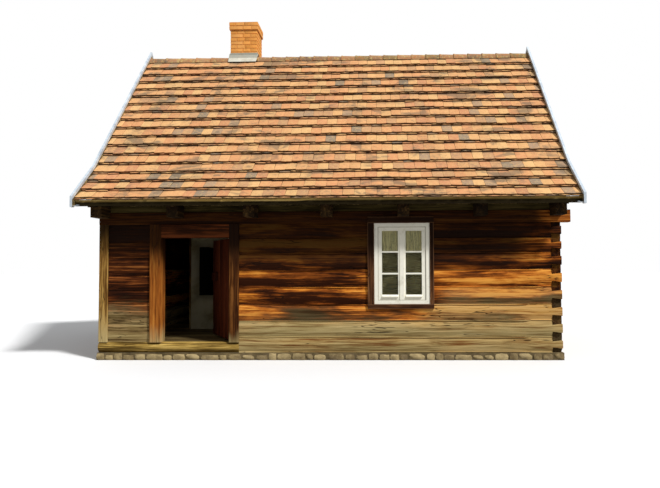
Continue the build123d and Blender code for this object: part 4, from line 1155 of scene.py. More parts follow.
class Scatter:
    """Lays templates on spots with one tree of Geometry Nodes."""

    def __init__(self) -> None:
        """Builds the tree."""
        self.tree = bpy.data.node_groups.new("Scatter", "GeometryNodeTree")
        kinds = {
            "Spots": "NodeSocketGeometry", "Templates": "NodeSocketCollection",
            "Finish": "NodeSocketMaterial", "Seed": "NodeSocketInt",
            "Shift": "NodeSocketVector", "Turn": "NodeSocketVector",
        }
        self.sockets = {
            name: self.tree.interface.new_socket(name, in_out="INPUT", socket_type=kind).identifier
            for name, kind in kinds.items()
        }
        self.tree.interface.new_socket("Pieces", in_out="OUTPUT", socket_type="NodeSocketGeometry")
        graph = Graph(self.tree)
        given = graph.add("NodeGroupInput").outputs
        shapes = graph.take("GeometryNodeCollectionInfo", {
            "Collection": given["Templates"], "Separate Children": True, "Reset Children": True,
        })
        turn = graph.take("FunctionNodeEulerToRotation", {0: self.carried(graph, "turn", "FLOAT_VECTOR")})
        laid = graph.take("GeometryNodeInstanceOnPoints", {
            "Points": given["Spots"], "Instance": shapes, "Pick Instance": True, "Rotation": turn,
            "Instance Index": self.carried(graph, "kind", "INT"),
            "Scale": self.carried(graph, "size", "FLOAT_VECTOR"),
        })
        shift = self.chance(graph, given, "Shift", 1)
        moved = graph.take("GeometryNodeTranslateInstances", {
            "Instances": laid, "Translation": shift, "Local Space": True,
        })
        lean = graph.take("FunctionNodeEulerToRotation", {0: self.chance(graph, given, "Turn", 2)})
        turned = graph.take("GeometryNodeRotateInstances", {
            "Instances": moved, "Rotation": lean, "Local Space": True,
        })
        tone = graph.take("FunctionNodeRandomValue", {"Seed": given["Seed"]}, 1, data_type="FLOAT")
        toned = graph.take("GeometryNodeStoreNamedAttribute",
                           {"Geometry": turned, "Name": "tone", "Value": tone},
                           data_type="FLOAT", domain="INSTANCE")
        real = graph.take("GeometryNodeRealizeInstances", {0: toned})
        done = graph.take("GeometryNodeSetMaterial", {"Geometry": real, "Material": given["Finish"]})
        graph.add("NodeGroupOutput", {0: done})

    @staticmethod
    def carried(graph: Graph, name: str, kind: str) -> Signal:
        """What the spots carry under a name."""
        return graph.take("GeometryNodeInputNamedAttribute", {"Name": name}, "Attribute", data_type=kind)

    @staticmethod
    def chance(graph: Graph, given: bpy.types.NodeOutputs, name: str, step: int) -> Signal:
        """A random vector up to the named input either way."""
        back = graph.scaled(given[name], -1.0)
        seed = graph.math("ADD", given["Seed"], float(step))
        return graph.take("FunctionNodeRandomValue", {"Min": back, "Max": given[name], "Seed": seed},
                          data_type="FLOAT_VECTOR")

    def lay(self, way: Laying, spots: list[Spot], templates: list[Mesh]) -> Piece:
        """Lays the templates as one plain piece.

        Args:
            way: how they are laid.
            spots: where they go.
            templates: the shapes, in the order of the spots' kinds.
        Returns:
            The piece.
        """
        cloud = bpy.data.meshes.new(way.name)
        cloud.from_pydata([spot.place for spot in spots], [], [])
        cloud.attributes.new("kind", "INT", "POINT").data.foreach_set("value", [spot.kind for spot in spots])
        for label in ("turn", "size"):
            flat = [number for spot in spots for number in getattr(spot, label)]
            cloud.attributes.new(label, "FLOAT_VECTOR", "POINT").data.foreach_set("vector", flat)
        holder = in_scene(way.name, cloud)
        shelf = bpy.data.collections.new("templates")
        for i, template in enumerate(templates):
            shelf.objects.link(bpy.data.objects.new(f"template_{i:02d}", template))
        modifier = holder.modifiers.new("Scatter", "NODES")
        modifier.node_group = self.tree
        values = {"Templates": shelf, "Finish": way.finish.material(), "Seed": way.seed,
                  "Shift": way.shift, "Turn": way.turn}
        for label, value in values.items():
            modifier[self.sockets[label]] = value
        holder.update_tag()
        ready = holder.evaluated_get(bpy.context.evaluated_depsgraph_get())
        mesh = bpy.data.meshes.new_from_object(ready)
        for label in ("kind", "turn", "size"):
            if label in mesh.attributes:
                mesh.attributes.remove(mesh.attributes[label])
        for thing in [holder, *shelf.objects]:
            bpy.data.objects.remove(thing)
        bpy.data.collections.remove(shelf)
        mesh.polygons.foreach_set("material_index", [0] * len(mesh.polygons))
        return settle(mesh, way.name, way.finish, [way.node], crease=way.crease)


def poured(name: str, solid: Solid) -> Mesh:
    """A solid as a mesh of its own; the solid is freed."""
    mesh = bpy.data.meshes.new(name)
    solid.to_mesh(mesh)
    solid.free()
    return mesh


def solid_mesh(name: str, points: Sequence[Sequence[float]], faces: Sequence[Sequence[int]]) -> Mesh:
    """A mesh with its faces turned outwards."""
    solid = bmesh.new()
    made = [solid.verts.new(point) for point in points]
    for face in faces:
        solid.faces.new([made[i] for i in face])
    bmesh.ops.recalc_face_normals(solid, faces=solid.faces)
    return poured(name, solid)


def worn_block(name: str, arris: float, rough: float, seed: int) -> Mesh:
    """A block of one metre round its middle with broken arrises, for a brick.

    Args:
        name: the mesh's name.
        arris: how much is worn off its edges.
        rough: how far its corners are off, in metres.
        seed: which block this is.
    Returns:
        The mesh.
    """
    chance = random.Random(seed)
    solid = bmesh.new()
    bmesh.ops.create_cube(solid, size=1.0)
    bmesh.ops.bevel(solid, geom=solid.edges[:], offset=arris, segments=1, affect="EDGES")
    for point in solid.verts:
        point.co -= Vector(math.copysign(chance.uniform(0, rough), c) for c in point.co)
    return poured(name, solid)


def boulder(name: str, squareness: float, seed: int) -> Mesh:
    """A rounded fieldstone in a box of one metre, round its middle.

    Args:
        name: the mesh's name.
        squareness: 0 for an egg, 1 for a block.
        seed: which stone this is.
    Returns:
        The mesh.
    """
    shift = Vector((seed * 3.7, seed * 1.3, seed * 2.9))
    solid = bmesh.new()
    bmesh.ops.create_cube(solid, size=1.0)
    bmesh.ops.subdivide_edges(solid, edges=solid.edges[:], cuts=3, use_grid_fill=True)
    for point in solid.verts:
        ball = point.co.normalized() * 0.5
        place = ball.lerp(point.co, squareness)
        place *= 1 + 0.16 * noise.noise(place * 2.4 + shift)
        point.co = Vector(min(0.5, max(-0.5, c)) for c in place)
    return poured(name, solid)


def box_solid(low: Sequence[float], high: Sequence[float]) -> Solid:
    """A plain box."""
    solid = bmesh.new()
    middle = [(a + b) / 2 for a, b in zip(low, high)]
    size = [b - a for a, b in zip(low, high)]
    bmesh.ops.create_cube(solid, size=1.0, matrix=Matrix.Translation(middle) @ Matrix.Diagonal((*size, 1)))
    return solid


# The parts of the cabin


class Part(ABC):
    """A sub-assembly that builds and dresses its own pieces."""

    @abstractmethod
    def build(self) -> list[Piece]:
        """Builds the part and returns its new pieces."""


@dataclass
class LogWalls(Part):
    """The squared logs of the four walls, the plates on them and the round sill log."""

    squared: Hewing = Hewing(Grain.X, (1,), rows=0.045, belly=0.02)
    plank: Hewing = Hewing(Grain.X, (1,), step=0.07, rows=0.04, arris=0.009, belly=0.014)
    plate: Hewing = Hewing(Grain.X, (1,), **SMOOTH)
    sill: Hewing = Hewing(Grain.X, (), rows=0.03, waver=0.0)

    def build(self) -> list[Piece]:
        """Hews the logs."""
        rows = (("front_lower_logs", LONG_LOGS, "weathered_sill"),
                ("front_middle_logs", MIDDLE_LOGS, "lit_logs"),
                ("front_right_logs", LONG_LOGS, "lit_logs"), ("back_wall_logs", LONG_LOGS, "lit_logs"))
        cross = replace(self.squared, grain=Grain.Y, faces=(0,))
        return [
            *(hew(node, self.squared, finish, slot) for node, finish, slot in rows),
            *(hew(node, cross, CROSS_LOGS, "lit_logs") for node in ("right_wall_logs", "left_wall_logs")),
            hew("front_bay_planks", self.plank, BAY_PLANKS, "lit_logs"),
            hew("wall_plates", self.plate, PLATE_WOOD, "dark_logs"),
            hew("sill_log_round", self.sill, SILL_WOOD, "weathered_sill", "worn_sill_log", crease=40),
        ]


@dataclass
class Posts(Part):
    """Corner posts, door posts and the lintel over the door."""

    post: Hewing = Hewing(Grain.Z, (0, 1), step=0.09, rows=0.05, arris=0.013, rim=0.022, **SMOOTH)
    beam: Hewing = Hewing(Grain.X, (1,), arris=0.009, **SMOOTH)

    def build(self) -> list[Piece]:
        """Works the posts and the lintel."""
        posts = (("corner_posts", CORNER_WOOD), ("door_post_left", POST_WOOD), ("door_post_right", DARK_POST))
        made = [hew(node, self.post, finish, "post_wood", f"worn_{node}") for node, finish in posts]
        return [*made, hew("door_lintel", self.beam, DARK_WOOD, "dark_logs", "worn_door_lintel")]


@dataclass
class Carpentry(Part):
    """Beams, rafters, battens, floor, ceiling, and the boards at the eaves and in the gables."""

    beam: Hewing = Hewing(Grain.Y, (0,), step=0.25, rows=0.05, **SMOOTH)
    tile_gap: float = 0.05
    verge: float = 3.936
    # How high the painted shade reaches up from the eaves boards' lower edges.
    dark_edge: float = 0.055

    def build(self) -> list[Piece]:
        """Cuts the boards and dresses the frame."""
        made = [hew("tie_beams", self.beam, DARK_CROSS, "roof_timber")]
        dress(ROOF_WOOD_Y, "rafters", "floor_joists")
        dress(ROOF_WOOD_X, "battens")
        panels = (
            ("floor_boards", (0, 1, 0), 0.2, BOARD_X),
            ("ceiling_boards", (1, 0, 0), 0.19, BOARD_Y),
            ("gable_boards", (0, 1, 0), 0.17, BOARD_Z),
            ("infill_boards", (0, 0, 1), 0.2, INFILL_WOOD),
            ("barge_boards", (0, 1, 0), 1.9, BOARD_Y),
        )
        for node, across, width, finish in panels:
            boards = Boarding(Vector(across), width).boards(node)
            made.append(boards.piece(f"sawn_{node}", finish, "plain_boards", [node]))
        made.append(self.eaves().piece("sawn_eaves_boards", EAVES_WOOD, "plain_boards", ["eaves_boards"]))
        return made

    def eaves(self) -> Carving:
        """The eaves boards, out to the verges and up to the tiles, with painted shade along their lower
        edges.
        """
        boards = Carving()
        for solid in solids_of("eaves_boards"):
            low, high = extents(solid)
            for point in solid.verts:
                if point.co.z > (low.z + high.z) / 2:
                    point.co.z += self.tile_gap
                point.co.x = math.copysign(self.verge, point.co.x)
            slice_at(solid, 2, (low.z + self.dark_edge,))
            slice_at(solid, 0, spaced(-self.verge, self.verge, 0.5))
            boards.add(solid, own_tone(low))
        # Painted shade: the strip along the boards' lower edges takes the dark arris colour.
        darkest = min(point.z for point in boards.points) + self.dark_edge + 0.001
        boards.marks["edge"] = [float(point.z < darkest) for point in boards.points]
        return boards


@dataclass
class Roof(Part):
    """Plain tiles laid double on both slopes, half-round ridge tiles, and zinc on the verges."""

    scatter: Scatter
    eaves: Span = (3.05, 2.574)
    kick_run: float = 0.68
    kick_pitch: float = math.radians(41)
    pitch: float = math.radians(49.5)
    half_length: float = 3.9372
    courses: int = 17
    ridge_cover: float = 0.22
    ridge_radius: float = 0.136
    ridge_length: float = 0.36
    ridge_gauge: float = 0.30
    ridge_seat: float = 0.1385
    ridge_wall: float = 0.014
    ridge_joint: float = 0.03
    stack_joint: float = 0.004
    second_butt: float = 0.024
    second_shown: float = 0.036
    lower_drop: float = -0.002
    upper_drop: float = -0.024
    sag: float = 0.048
    tiles_across: int = 44
    tile_joint: float = 0.003
    half_joint: float = 0.002
    tile_length: float = 0.31
    tile_lean: float = 0.007
    tile_chip: float = 0.003
    tile_thickness: float = 0.017
    tile_columns: int = 5
    butt_arch: float = 0.010
    crown: float = 0.0025
    dirt_and_shade_strip: float = 0.018
    wander: float = 0.022
    lower_loose: float = 0.016
    upper_loose: float = 0.010
    slipped: float = 0.016
    slipped_share: float = 0.05
    apron_lap: float = 0.012
    apron_drop: float = 0.03
    apron_bend: float = 0.014
    apron_start: float = 0.02
    lip_start: float = 0.1
    foot: Triple = (0.125, 0.055, 0.004)
    foot_rise: float = 0.03
    foot_inset: Triple = (0.001, 0.002, 0.001)

    def slope_point(self, distance: float, drop: float) -> tuple[float, float]:
        """The place on the roof's cross-section at a distance up from the eaves.

        Args:
            distance: metres up the slope.
            drop: metres below the surface.
        Returns:
            The distance from the ridge line, and the height.
        """
        kick = self.kick_run / math.cos(self.kick_pitch)
        y, z = self.eaves
        pitch, along = self.kick_pitch, distance
        if distance >= kick:
            y, z = y - self.kick_run, z + self.kick_run * math.tan(self.kick_pitch)
            pitch, along = self.pitch, distance - kick
        y, z = y - along * math.cos(pitch), z + along * math.sin(pitch)
        return y - drop * math.sin(pitch), z - drop * math.cos(pitch)

    @property
    def gauge(self) -> float:
        """The distance between courses."""
        kick = self.kick_run / math.cos(self.kick_pitch)
        whole = kick + (self.eaves[0] - self.kick_run) / math.cos(self.pitch)
        return (whole - self.ridge_cover) / self.courses

    @property
    def tile_pitch(self) -> float:
        """The distance between the middles of tiles in a course."""
        return 2 * self.half_length / self.tiles_across

    def tile(self, name: str, width: float, seed: int, shown: float) -> Mesh:
        """One plain tile: its butt is a flat arch, its face slightly crowned, with dirt and painted shade on
        its butt and where the next course laps it.

        Args:
            name: the mesh's name.
            width: its width.
            seed: which tile this is.
            shown: how much of its length the next course leaves free.
        Returns:
            The mesh, lower edge at the origin, top face up.
        """
        chance = random.Random(seed)
        columns = self.tile_columns
        lean = chance.uniform(-self.tile_lean, self.tile_lean)
        # Marks for dirt and painted shade: some on the butt, none on the open face, rising to full under the
        # next course; full on the underside.
        rows = ((0.0, 0.35), (min(0.01, shown / 3), 0.0), (shown - self.dirt_and_shade_strip, 0.0), (shown, 1.0),
                (self.tile_length, 1.0))
        points, dark = [], []
        for y, dirt in rows:
            for i in range(columns + 1):
                across = i / columns * 2 - 1
                chip = chance.uniform(-self.tile_chip, self.tile_chip)
                arch = self.butt_arch * across ** 2 + lean * across + chip
                crown = self.crown * (1 - across ** 2) - self.crown
                crown += chance.uniform(-0.001, 0.001) if y == 0 else 0
                bent = arch * (1 - y / self.tile_length) if y < shown / 2 else 0.0
                points.append((across * width / 2, y + bent, crown))
                dark.append(dirt)
        top = len(points)
        for i in [*range(columns + 1), *range(top - columns - 1, top)]:
            x, y, z = points[i]
            points.append((x, y + 0.001, z - self.tile_thickness))
            dark.append(1.0)
        count = columns + 1
        starts = [row * count + i for row in range(len(rows) - 1) for i in range(columns)]
        faces = [(a, a + 1, a + count + 1, a + count) for a in starts]
        for i in range(columns):
            a, b = i, top - count + i
            faces += [(a, a + top, a + top + 1, a + 1), (b, b + 1, top + count + i + 1, top + count + i),
                      (a + top, top + count + i, top + count + i + 1, a + top + 1)]
        for i in (0, columns):
            rim = [row * count + i for row in range(len(rows))]
            faces.append((*rim, top + count + i, top + i))
        mesh = solid_mesh(name, points, faces)
        mesh.attributes.new("butt", "FLOAT", "POINT").data.foreach_set("value", dark)
        return mesh

    def spots(self, back: bool, flue: tuple[Vector, Vector]) -> list[Spot]:
        """Where the tiles of one slope go.

        Args:
            back: whether it is the back slope.
            flue: the box round the stack, which the tiles stop at.
        Returns:
            The spots, lower layer first in each course.
        """
        chance = random.Random(11 if back else 5)
        pitch, reach = self.tile_pitch, self.tile_pitch / 2
        spots = []
        for course, layer in product(range(self.courses), range(2)):
            start = course * self.gauge + self.second_butt * layer
            drop = self.upper_drop if layer else self.lower_drop
            loose = self.upper_loose if layer else self.lower_loose
            whole = (course + layer) % 2 == 0
            left = self.courses * self.gauge + self.ridge_cover - start - self.ridge_joint
            length = min(self.tile_length, left)
            y0, z0 = self.slope_point(start, drop)
            y1, z1 = self.slope_point(start + length, drop + self.sag * length / self.gauge)
            lean = math.atan2(z1 - z0, y0 - y1)
            for i in range(self.tiles_across + (0 if whole else 1)):
                x = -self.half_length + pitch * (i + 0.5 if whole else i)
                kind = chance.randrange(4)
                if not whole and i in (0, self.tiles_across):
                    kind = 4
                    x += pitch / 4 * (1 if i == 0 else -1)
                kind += 0 if layer else 5
                behind = back and flue[0].x - reach < x < flue[1].x + reach and y1 < flue[1].y
                if behind and not y1 + 0.02 < flue[1].y < y0:
                    continue
                slip = chance.uniform(-loose, loose)
                slip -= self.slipped if chance.random() < self.slipped_share else 0
                slip += self.wander * noise.noise(Vector((x * 0.9, course * 1.7, 5.0 * back)))
                if course == 0:
                    slip = max(slip, -0.002) * 0.5
                y, z = y0 - slip * math.cos(lean), z0 + slip * math.sin(lean)
                place = Vector((x, y if back else -y, z))
                turn = (lean, 0.0, math.pi if back else 0.0)
                spots.append(Spot(place, turn, (1.0, length / self.tile_length, 1.0), kind))
        return spots

    def ridge_tile(self, name: str, radius: float) -> Mesh:
        """A half-round ridge tile that tapers from its covering end to its covered one."""
        rings = ((0.0, 0.0), (0.03, 0.0), (0.034, 0.006), (self.ridge_length, 0.016))
        count = 10
        outer, inner = [], []
        for along, less in rings:
            for i in range(count + 1):
                angle = math.pi * i / count
                for ring, depth in ((outer, less), (inner, less + self.ridge_wall)):
                    out = radius - depth
                    ring.append((along, out * math.cos(angle), out * math.sin(angle)))
        total = len(outer)
        faces = []
        for k in range(len(rings) - 1):
            first = k * (count + 1)
            for a in range(first, first + count):
                quad = (a, a + 1, a + count + 2, a + count + 1)
                faces += [quad, tuple(j + total for j in reversed(quad))]
            for a in (first, first + count):
                faces.append((a, a + count + 1, a + count + 1 + total, a + total))
        for first in (0, total - count - 1):
            faces += [(a, a + 1, a + 1 + total, a + total) for a in range(first, first + count)]
        return solid_mesh(name, outer + inner, faces)

    def ridge(self) -> Piece:
        """Lays the ridge tiles on both sides of the stack."""
        low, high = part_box("ridge_tiles")
        flash_low, flash_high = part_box("chimney_flashing")
        templates = [self.ridge_tile(f"ridge_{i}", self.ridge_radius - 0.001 * i) for i in range(2)]
        spots = []
        chance = random.Random(3)
        gap = self.stack_joint
        for start, end in ((low.x, flash_low.x - gap), (flash_high.x + gap, high.x)):
            count = round((end - start) / self.ridge_gauge)
            step = (end - start - self.ridge_length) / (count - 1)
            for i in range(count):
                place = Vector((start + i * step, 0.0, high.z - self.ridge_seat))
                spots.append(Spot(place, kind=chance.randrange(2)))
        way = Laying("ridge_tiles_laid", RIDGE_CLAY, "clay_tile", "ridge_tiles", seed=23,
                     shift=(0.0, 0.001, 0.0015), turn=(0.004, 0.006, 0.004))
        return self.scatter.lay(way, spots, templates)

    def zinc_feet(self) -> Piece:
        """The zinc turned in under the foot of each verge."""
        low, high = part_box("verge_zinc")
        dx, dy, dz = self.foot_inset
        feet = Carving()
        for side, end in product((-1, 1), (-1, 1)):
            lip = box_solid((0, 0, 0), self.foot)
            for point in lip.verts:
                point.co.z += self.foot_rise * point.co.x / self.foot[0]
                point.co = Vector((side * (high.x - dx - point.co.x), end * (high.y - dy - point.co.y),
                                   low.z + dz + point.co.z))
            feet.add(lip)
        return feet.piece("zinc_feet", ZINC, "zinc")

    def flashing(self, flue: tuple[Vector, Vector]) -> Piece:
        """The zinc round the stack, its front apron trimmed close to the stack's sides."""
        sheet = Carving()
        for solid in solids_of("chimney_flashing"):
            for point in solid.verts:
                if point.co.y < flue[0].y + self.apron_start:
                    point.co.x = min(flue[1].x + self.apron_lap, max(flue[0].x - self.apron_lap, point.co.x))
                if point.co.y < flue[0].y - self.lip_start:
                    point.co.y -= self.apron_drop * math.cos(self.pitch)
                    point.co.z -= self.apron_drop * math.sin(self.pitch) + self.apron_bend
            sheet.add(solid)
        return sheet.piece("folded_flashing", FLASHING, "zinc", ["chimney_flashing"])

    def build(self) -> list[Piece]:
        """Lays the tiles and dresses the zinc."""
        width, half = self.tile_pitch - self.tile_joint, self.tile_pitch / 2 - self.half_joint
        templates = []
        for layer, shown in (("upper", self.gauge - self.second_butt), ("lower", self.second_shown)):
            templates += [self.tile(f"tile_{layer}_{i}", width, i, shown) for i in range(4)]
            templates.append(self.tile(f"tile_{layer}_half", half, 7, shown))
        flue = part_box("chimney_stack")
        made = []
        for side, seed in (("front", 41), ("back", 42)):
            way = Laying(f"{side}_tiles_laid", TILE_CLAY, "clay_tile", f"roof_tiles_{side}", seed,
                         shift=(0.0008, 0.003, 0.0022), turn=(0.007, 0.010, 0.014))
            made.append(self.scatter.lay(way, self.spots(side == "back", flue), templates))
        made += [self.ridge(), self.zinc_feet(), self.flashing(flue)]
        dress(ZINC, "verge_zinc")
        return made


@dataclass
class Chimney(Part):
    """The brick stack and its cap on the whitewashed hearth."""

    scatter: Scatter
    course: float = 0.077
    joint: float = 0.012
    leaf: float = 0.13
    pointing: float = 0.007
    front_shares: Span = (0.62, 0.38)
    side_shares: Span = (0.5, 0.5)
    core_foot: float = 0.001
    core_top: float = 0.004

    def ring(self, low: Vector, high: Vector, middle: float, turned: bool) -> list[Spot]:
        """The bricks of one course, laid round the flue like a pinwheel.

        Args:
            low: the lowest corner of the stack.
            high: its highest corner.
            middle: the height of the course's middle.
            turned: whether the course runs the other way round.
        Returns:
            The spots.
        """
        width, depth = high.x - low.x, high.y - low.y
        centre = Vector(((low.x + high.x) / 2, (low.y + high.y) / 2, middle))
        sides = ((width, depth, self.front_shares), (depth, width, self.side_shares)) * 2
        spots = []
        for side, (long, other, shares) in enumerate(sides):
            run = long - self.leaf - self.joint
            reach = other / 2 - self.leaf / 2
            start = -long / 2
            angle = side * math.pi / 2
            for share in shares:
                length = (run + self.joint) * share - self.joint
                along = start + length / 2
                start += length + self.joint
                offset = Vector((-along if turned else along, -reach, 0))
                offset.rotate(Matrix.Rotation(angle, 3, "Z"))
                size = (length, self.leaf, self.course - self.joint)
                spots.append(Spot(centre + offset, (0.0, 0.0, angle), size, (side + turned) % 3))
        return spots

    def masonry(self, node: str, name: str, seed: int) -> list[Piece]:
        """Bricks on a mortar core in the place of a CAD node."""
        low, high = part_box(node)
        count = round((high.z - low.z) / self.course)
        rise = (high.z - low.z) / count
        spots = []
        for i in range(count):
            spots += self.ring(low, high, low.z + rise * (i + 0.5), i % 2 == 1)
        bricks = [worn_block(f"brick_{i}", arris=0.02, rough=0.012, seed=i) for i in range(3)]
        way = Laying(name, BRICK_CLAY, "brick", node, seed, shift=(0.001, 0.001, 0.001),
                     turn=(0.003, 0.003, 0.004))
        laid = self.scatter.lay(way, spots, bricks)
        core = Carving()
        inset = self.pointing
        wall = self.leaf - inset
        boxes = (
            ((low.x + inset, low.y + inset), (high.x - inset, low.y + wall)),
            ((low.x + inset, high.y - wall), (high.x - inset, high.y - inset)),
            ((low.x + inset, low.y + wall), (low.x + wall, high.y - wall)),
            ((high.x - wall, low.y + wall), (high.x - inset, high.y - wall)),
        )
        for near, far in boxes:
            core.add(box_solid((*near, low.z + self.core_foot), (*far, high.z - self.core_top)))
        return [laid, core.piece(f"{name}_mortar", MORTAR, "brick")]

    def build(self) -> list[Piece]:
        """Lays the bricks and limewashes the hearth."""
        made = self.masonry("chimney_stack", "stack_bricks", 61)
        made += self.masonry("chimney_cap", "cap_bricks", 67)
        dress(LIMEWASH, "hearth_base", "hearth_walls", "hearth_hood")
        return made


@dataclass
class Footing(Part):
    """Low strips of fieldstone in lime mortar."""

    scatter: Scatter
    stone: float = 0.19
    shortest: float = 0.12
    lengths: Span = (0.55, 1.6)
    heights: Span = (0.7, 1.0)
    end_gap: float = 0.02
    bed: float = 0.018
    bed_top: float = 0.003

    def build(self) -> list[Piece]:
        """Lays the stones."""
        chance = random.Random(8)
        core, spots = Carving(), []
        for strip in solids_of("footing"):
            low, high = extents(strip)
            strip.free()
            run = 0 if high.x - low.x > high.y - low.y else 1
            side = 1 - run
            foot = [a + b for a, b in zip(low, (self.bed, self.bed, 0.0))]
            top = [a - b for a, b in zip(high, (self.bed, self.bed, self.bed_top))]
            core.add(box_solid(foot, top), tone=0.4)
            for row in range(2):
                place = low[run]
                depth = (high[side] - low[side]) / 2
                while place < high[run] - self.end_gap:
                    length = min(chance.uniform(*self.lengths) * self.stone, high[run] - place)
                    if high[run] - place - length < self.shortest:
                        length = high[run] - place
                    height = (high.z - low.z) * chance.uniform(*self.heights)
                    middle = Vector((0, 0, low.z + height / 2))
                    middle[run] = place + length / 2
                    middle[side] = low[side] + depth * (row + 0.5)
                    turn = (0.0, 0.0, run * math.pi / 2)
                    spots.append(Spot(middle, turn, (length, depth, height), chance.randrange(4)))
                    place += length
        stones = [boulder(f"stone_{i}", squareness=0.35 + 0.1 * i, seed=i) for i in range(4)]
        way = Laying("footing_stones", FIELDSTONE, "fieldstone", "footing", seed=71, crease=50)
        return [self.scatter.lay(way, spots, stones), core.piece("footing_bed", BED_MORTAR, "fieldstone")]


@dataclass
class Window(Part):
    """The white casement window, its casing boards and the net curtain behind it."""

    casing: Hewing = Hewing(Grain.Z, (1,), rows=0.05, arris=0.004, rim=0.012)
    folds: int = 17
    fold_depth: float = 0.0105
    fold_points: int = 10
    curtain_rows: int = 14
    scallop: float = 0.004
    phases: Span = (-0.25, 0.25)
    sizes: Span = (0.65, 1.0)

    def curtain(self) -> Piece:
        """Gathers the net curtain on its rod."""
        low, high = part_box("window_curtain")
        columns, rows = self.folds * self.fold_points, self.curtain_rows
        chance = random.Random(4)
        phase = [chance.uniform(*self.phases) for _ in range(self.folds + 2)]
        size = [chance.uniform(*self.sizes) for _ in range(self.folds + 2)]
        middle = (low.y + high.y) / 2
        points, flat = [], []
        for r in range(rows + 1):
            down = r / rows
            walked = 0.0
            last = None
            for c in range(columns + 1):
                along = c / columns
                fold = along * self.folds
                i = int(fold)
                fullness = size[i] + (size[i + 1] - size[i]) * (fold - i)
                depth = self.fold_depth * fullness * (0.55 + 0.45 * down)
                wave = math.sin(2 * math.pi * (fold + phase[i] * 0.3 * down))
                hem = self.scallop * down * math.cos(2 * math.pi * fold)
                place = Vector((low.x + (high.x - low.x) * along, middle + depth * wave,
                                high.z - (high.z - low.z) * down + hem))
                walked += 0.0 if last is None else (place - last).length
                last = place
                points.append(place)
                flat.append((walked, (high.z - low.z) * (1 - down)))
        starts = [r * (columns + 1) + c for r in range(rows) for c in range(columns)]
        mesh = bpy.data.meshes.new("net_curtain")
        mesh.from_pydata(points, [], [(a, a + columns + 1, a + columns + 2, a + 1) for a in starts])
        cloth = mesh.uv_layers.new(name="cloth")
        for loop in mesh.loops:
            cloth.data[loop.index].uv = flat[loop.vertex_index]
        piece = settle(mesh, "net_curtain", LACE, ["window_curtain"])
        return piece

    def build(self) -> list[Piece]:
        """Dresses the window."""
        dress(WHITE_PAINT, "window_frame", "window_sashes")
        dress(GLASS, "window_glass")
        dress(IRON, "curtain_rod")
        upright, level = Carving(), Carving()
        for solid in solids_of("window_casing"):
            low, high = extents(solid)
            stands = high.z - low.z > high.x - low.x
            worn = replace(self.casing, grain=Grain.Z if stands else Grain.X).rough_out(solid)
            (upright if stands else level).add(solid, own_tone(low), worn)
        return [
            upright.piece("casing_uprights", CASING_UP, "casing_wood", ["window_casing"]),
            level.piece("casing_rails", CASING_LONG, "casing_wood"),
            self.curtain(),
        ]


@dataclass
class Door(Part):
    """The plank door, open inwards, with its ledges, straps and lock."""

    along: Triple = (-0.5, math.sqrt(0.75), 0.0)
    plank: float = 0.22

    def build(self) -> list[Piece]:
        """Dresses the door."""
        leaf = Boarding(Vector(self.along), self.plank, gap=0.002, vary=0.08).boards("door_leaf")
        made = [leaf.piece("door_planks", DOOR_WOOD, "door_paint", ["door_leaf"], body="door")]
        dress(DOOR_WOOD, "door_ledges", "door_lock")
        dress(IRON, "door_straps", "door_hooks")
        return made


# Light, floor and camera


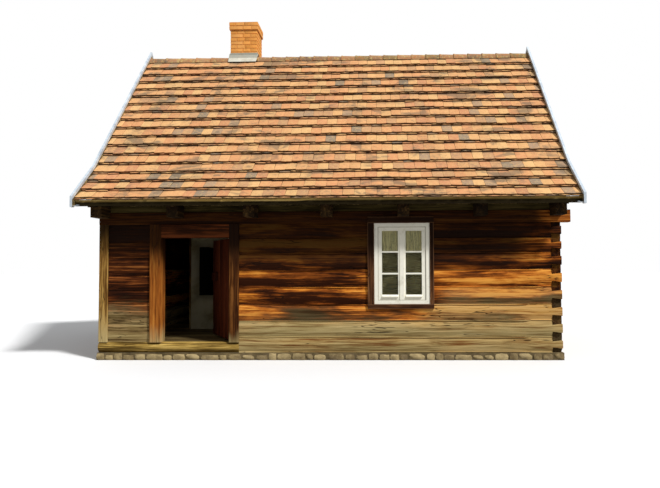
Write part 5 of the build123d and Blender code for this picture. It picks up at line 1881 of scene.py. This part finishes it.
@dataclass(frozen=True)
class Studio:
    """Soft daylight, a pale floor and a white backdrop."""

    sun_azimuth: float = 52
    sun_height: float = 48
    sun_power: float = 3.4
    sun_softness: float = 0.12
    sky_power: float = 0.38
    sky: Colour = (0.96, 0.98, 1.0, 1.0)
    white: Colour = (1.0, 1.0, 1.0, 1.0)
    floor_size: float = 160
    floor_lit: Colour = (0.3, 0.29, 0.27, 1.0)
    floor_shown: Colour = (0.92, 0.92, 0.92, 1.0)

    def build(self) -> None:
        """Sets up the light and the floor."""
        azimuth, height = math.radians(self.sun_azimuth), math.radians(self.sun_height)
        toward = Vector((math.sin(azimuth) * math.cos(height), -math.cos(azimuth) * math.cos(height),
                         math.sin(height)))
        sun = bpy.data.lights.new("sun", "SUN")
        sun.energy = self.sun_power
        sun.angle = self.sun_softness
        in_scene("sun", sun).rotation_euler = toward.to_track_quat("Z", "Y").to_euler()
        self.backdrop()
        self.floor()

    @staticmethod
    def seen(graph: Graph) -> Signal:
        """1 where the camera sees it, directly or in metal or glass."""
        ray = graph.add("ShaderNodeLightPath").outputs
        mirrored = graph.math("MAXIMUM", ray["Is Glossy Ray"], ray["Is Transmission Ray"])
        return graph.math("MAXIMUM", ray["Is Camera Ray"], mirrored)

    def backdrop(self) -> None:
        """White to the camera, plain soft light to the cabin."""
        world = bpy.data.worlds.new("backdrop")
        graph = cleared(world)
        light = graph.add("ShaderNodeBackground", {"Color": self.sky, "Strength": self.sky_power})
        white = graph.add("ShaderNodeBackground", {"Color": self.white, "Strength": 1.0})
        both = graph.blend(self.seen(graph), light, white)
        graph.add("ShaderNodeOutputWorld", {"Surface": both.outputs[0]})
        bpy.context.scene.world = world

    def floor(self) -> None:
        """A pale floor that keeps the cabin's shadow."""
        half = self.floor_size / 2
        mesh = bpy.data.meshes.new("floor")
        mesh.from_pydata([(-half, -half, 0), (half, -half, 0), (half, half, 0), (-half, half, 0)], [],
                         [(0, 1, 2, 3)])
        made = bpy.data.materials.new("floor")
        graph = cleared(made)
        colour = graph.mix(self.seen(graph), self.floor_lit, self.floor_shown)
        shader = graph.add("ShaderNodeBsdfPrincipled", {"Base Color": colour, "Roughness": 0.95})
        graph.add("ShaderNodeOutputMaterial", {"Surface": shader.outputs[0]})
        mesh.materials.append(made)
        floor = in_scene("floor", mesh)


@dataclass(frozen=True)
class Viewpoint:
    """The camera of the picture, as fitted to it."""

    place: Triple = (0.7862, -11.7899, 1.5433)
    yaw: float = 0.0295
    pitch: float = 0.0348
    roll: float = -0.0047
    focal: float = 569.21
    middle: float = 359.33
    width: int = 660

    def build(self) -> None:
        """Sets the scene's camera."""
        ahead = Vector((-math.sin(self.yaw) * math.cos(self.pitch), math.cos(self.yaw) * math.cos(self.pitch),
                        math.sin(self.pitch)))
        right = Vector((math.cos(self.yaw), math.sin(self.yaw), 0))
        up = right.cross(ahead)
        turn = math.cos(self.roll), math.sin(self.roll)
        right, up = right * turn[0] + up * turn[1], up * turn[0] - right * turn[1]
        camera = bpy.data.cameras.new("camera")
        camera.sensor_width = 36
        camera.sensor_fit = "HORIZONTAL"
        camera.lens = self.focal * camera.sensor_width / self.width
        camera.shift_x = -(self.middle - self.width / 2) / self.width
        camera.clip_end = 400
        holder = in_scene("camera", camera)
        turned = Matrix((right, up, -ahead)).transposed().to_4x4()
        holder.matrix_world = Matrix.Translation(self.place) @ turned
        bpy.context.scene.camera = holder
        bpy.context.scene.view_settings.view_transform = "Standard"


def main() -> None:
    """Builds the picture's setting and the cabin, part by part."""
    logging.basicConfig(level=logging.INFO, format="%(message)s")
    Viewpoint().build()
    Studio().build()
    scatter = Scatter()
    parts: list[Part] = [
        LogWalls(), Posts(), Carpentry(), Roof(scatter), Chimney(scatter), Footing(scatter), Window(), Door(),
    ]
    for part in parts:
        for piece in part.build():
            log.info("%s: %s, %d faces", type(part).__name__, piece.name, len(piece.data.polygons))


if __name__ == "__main__":
    main()
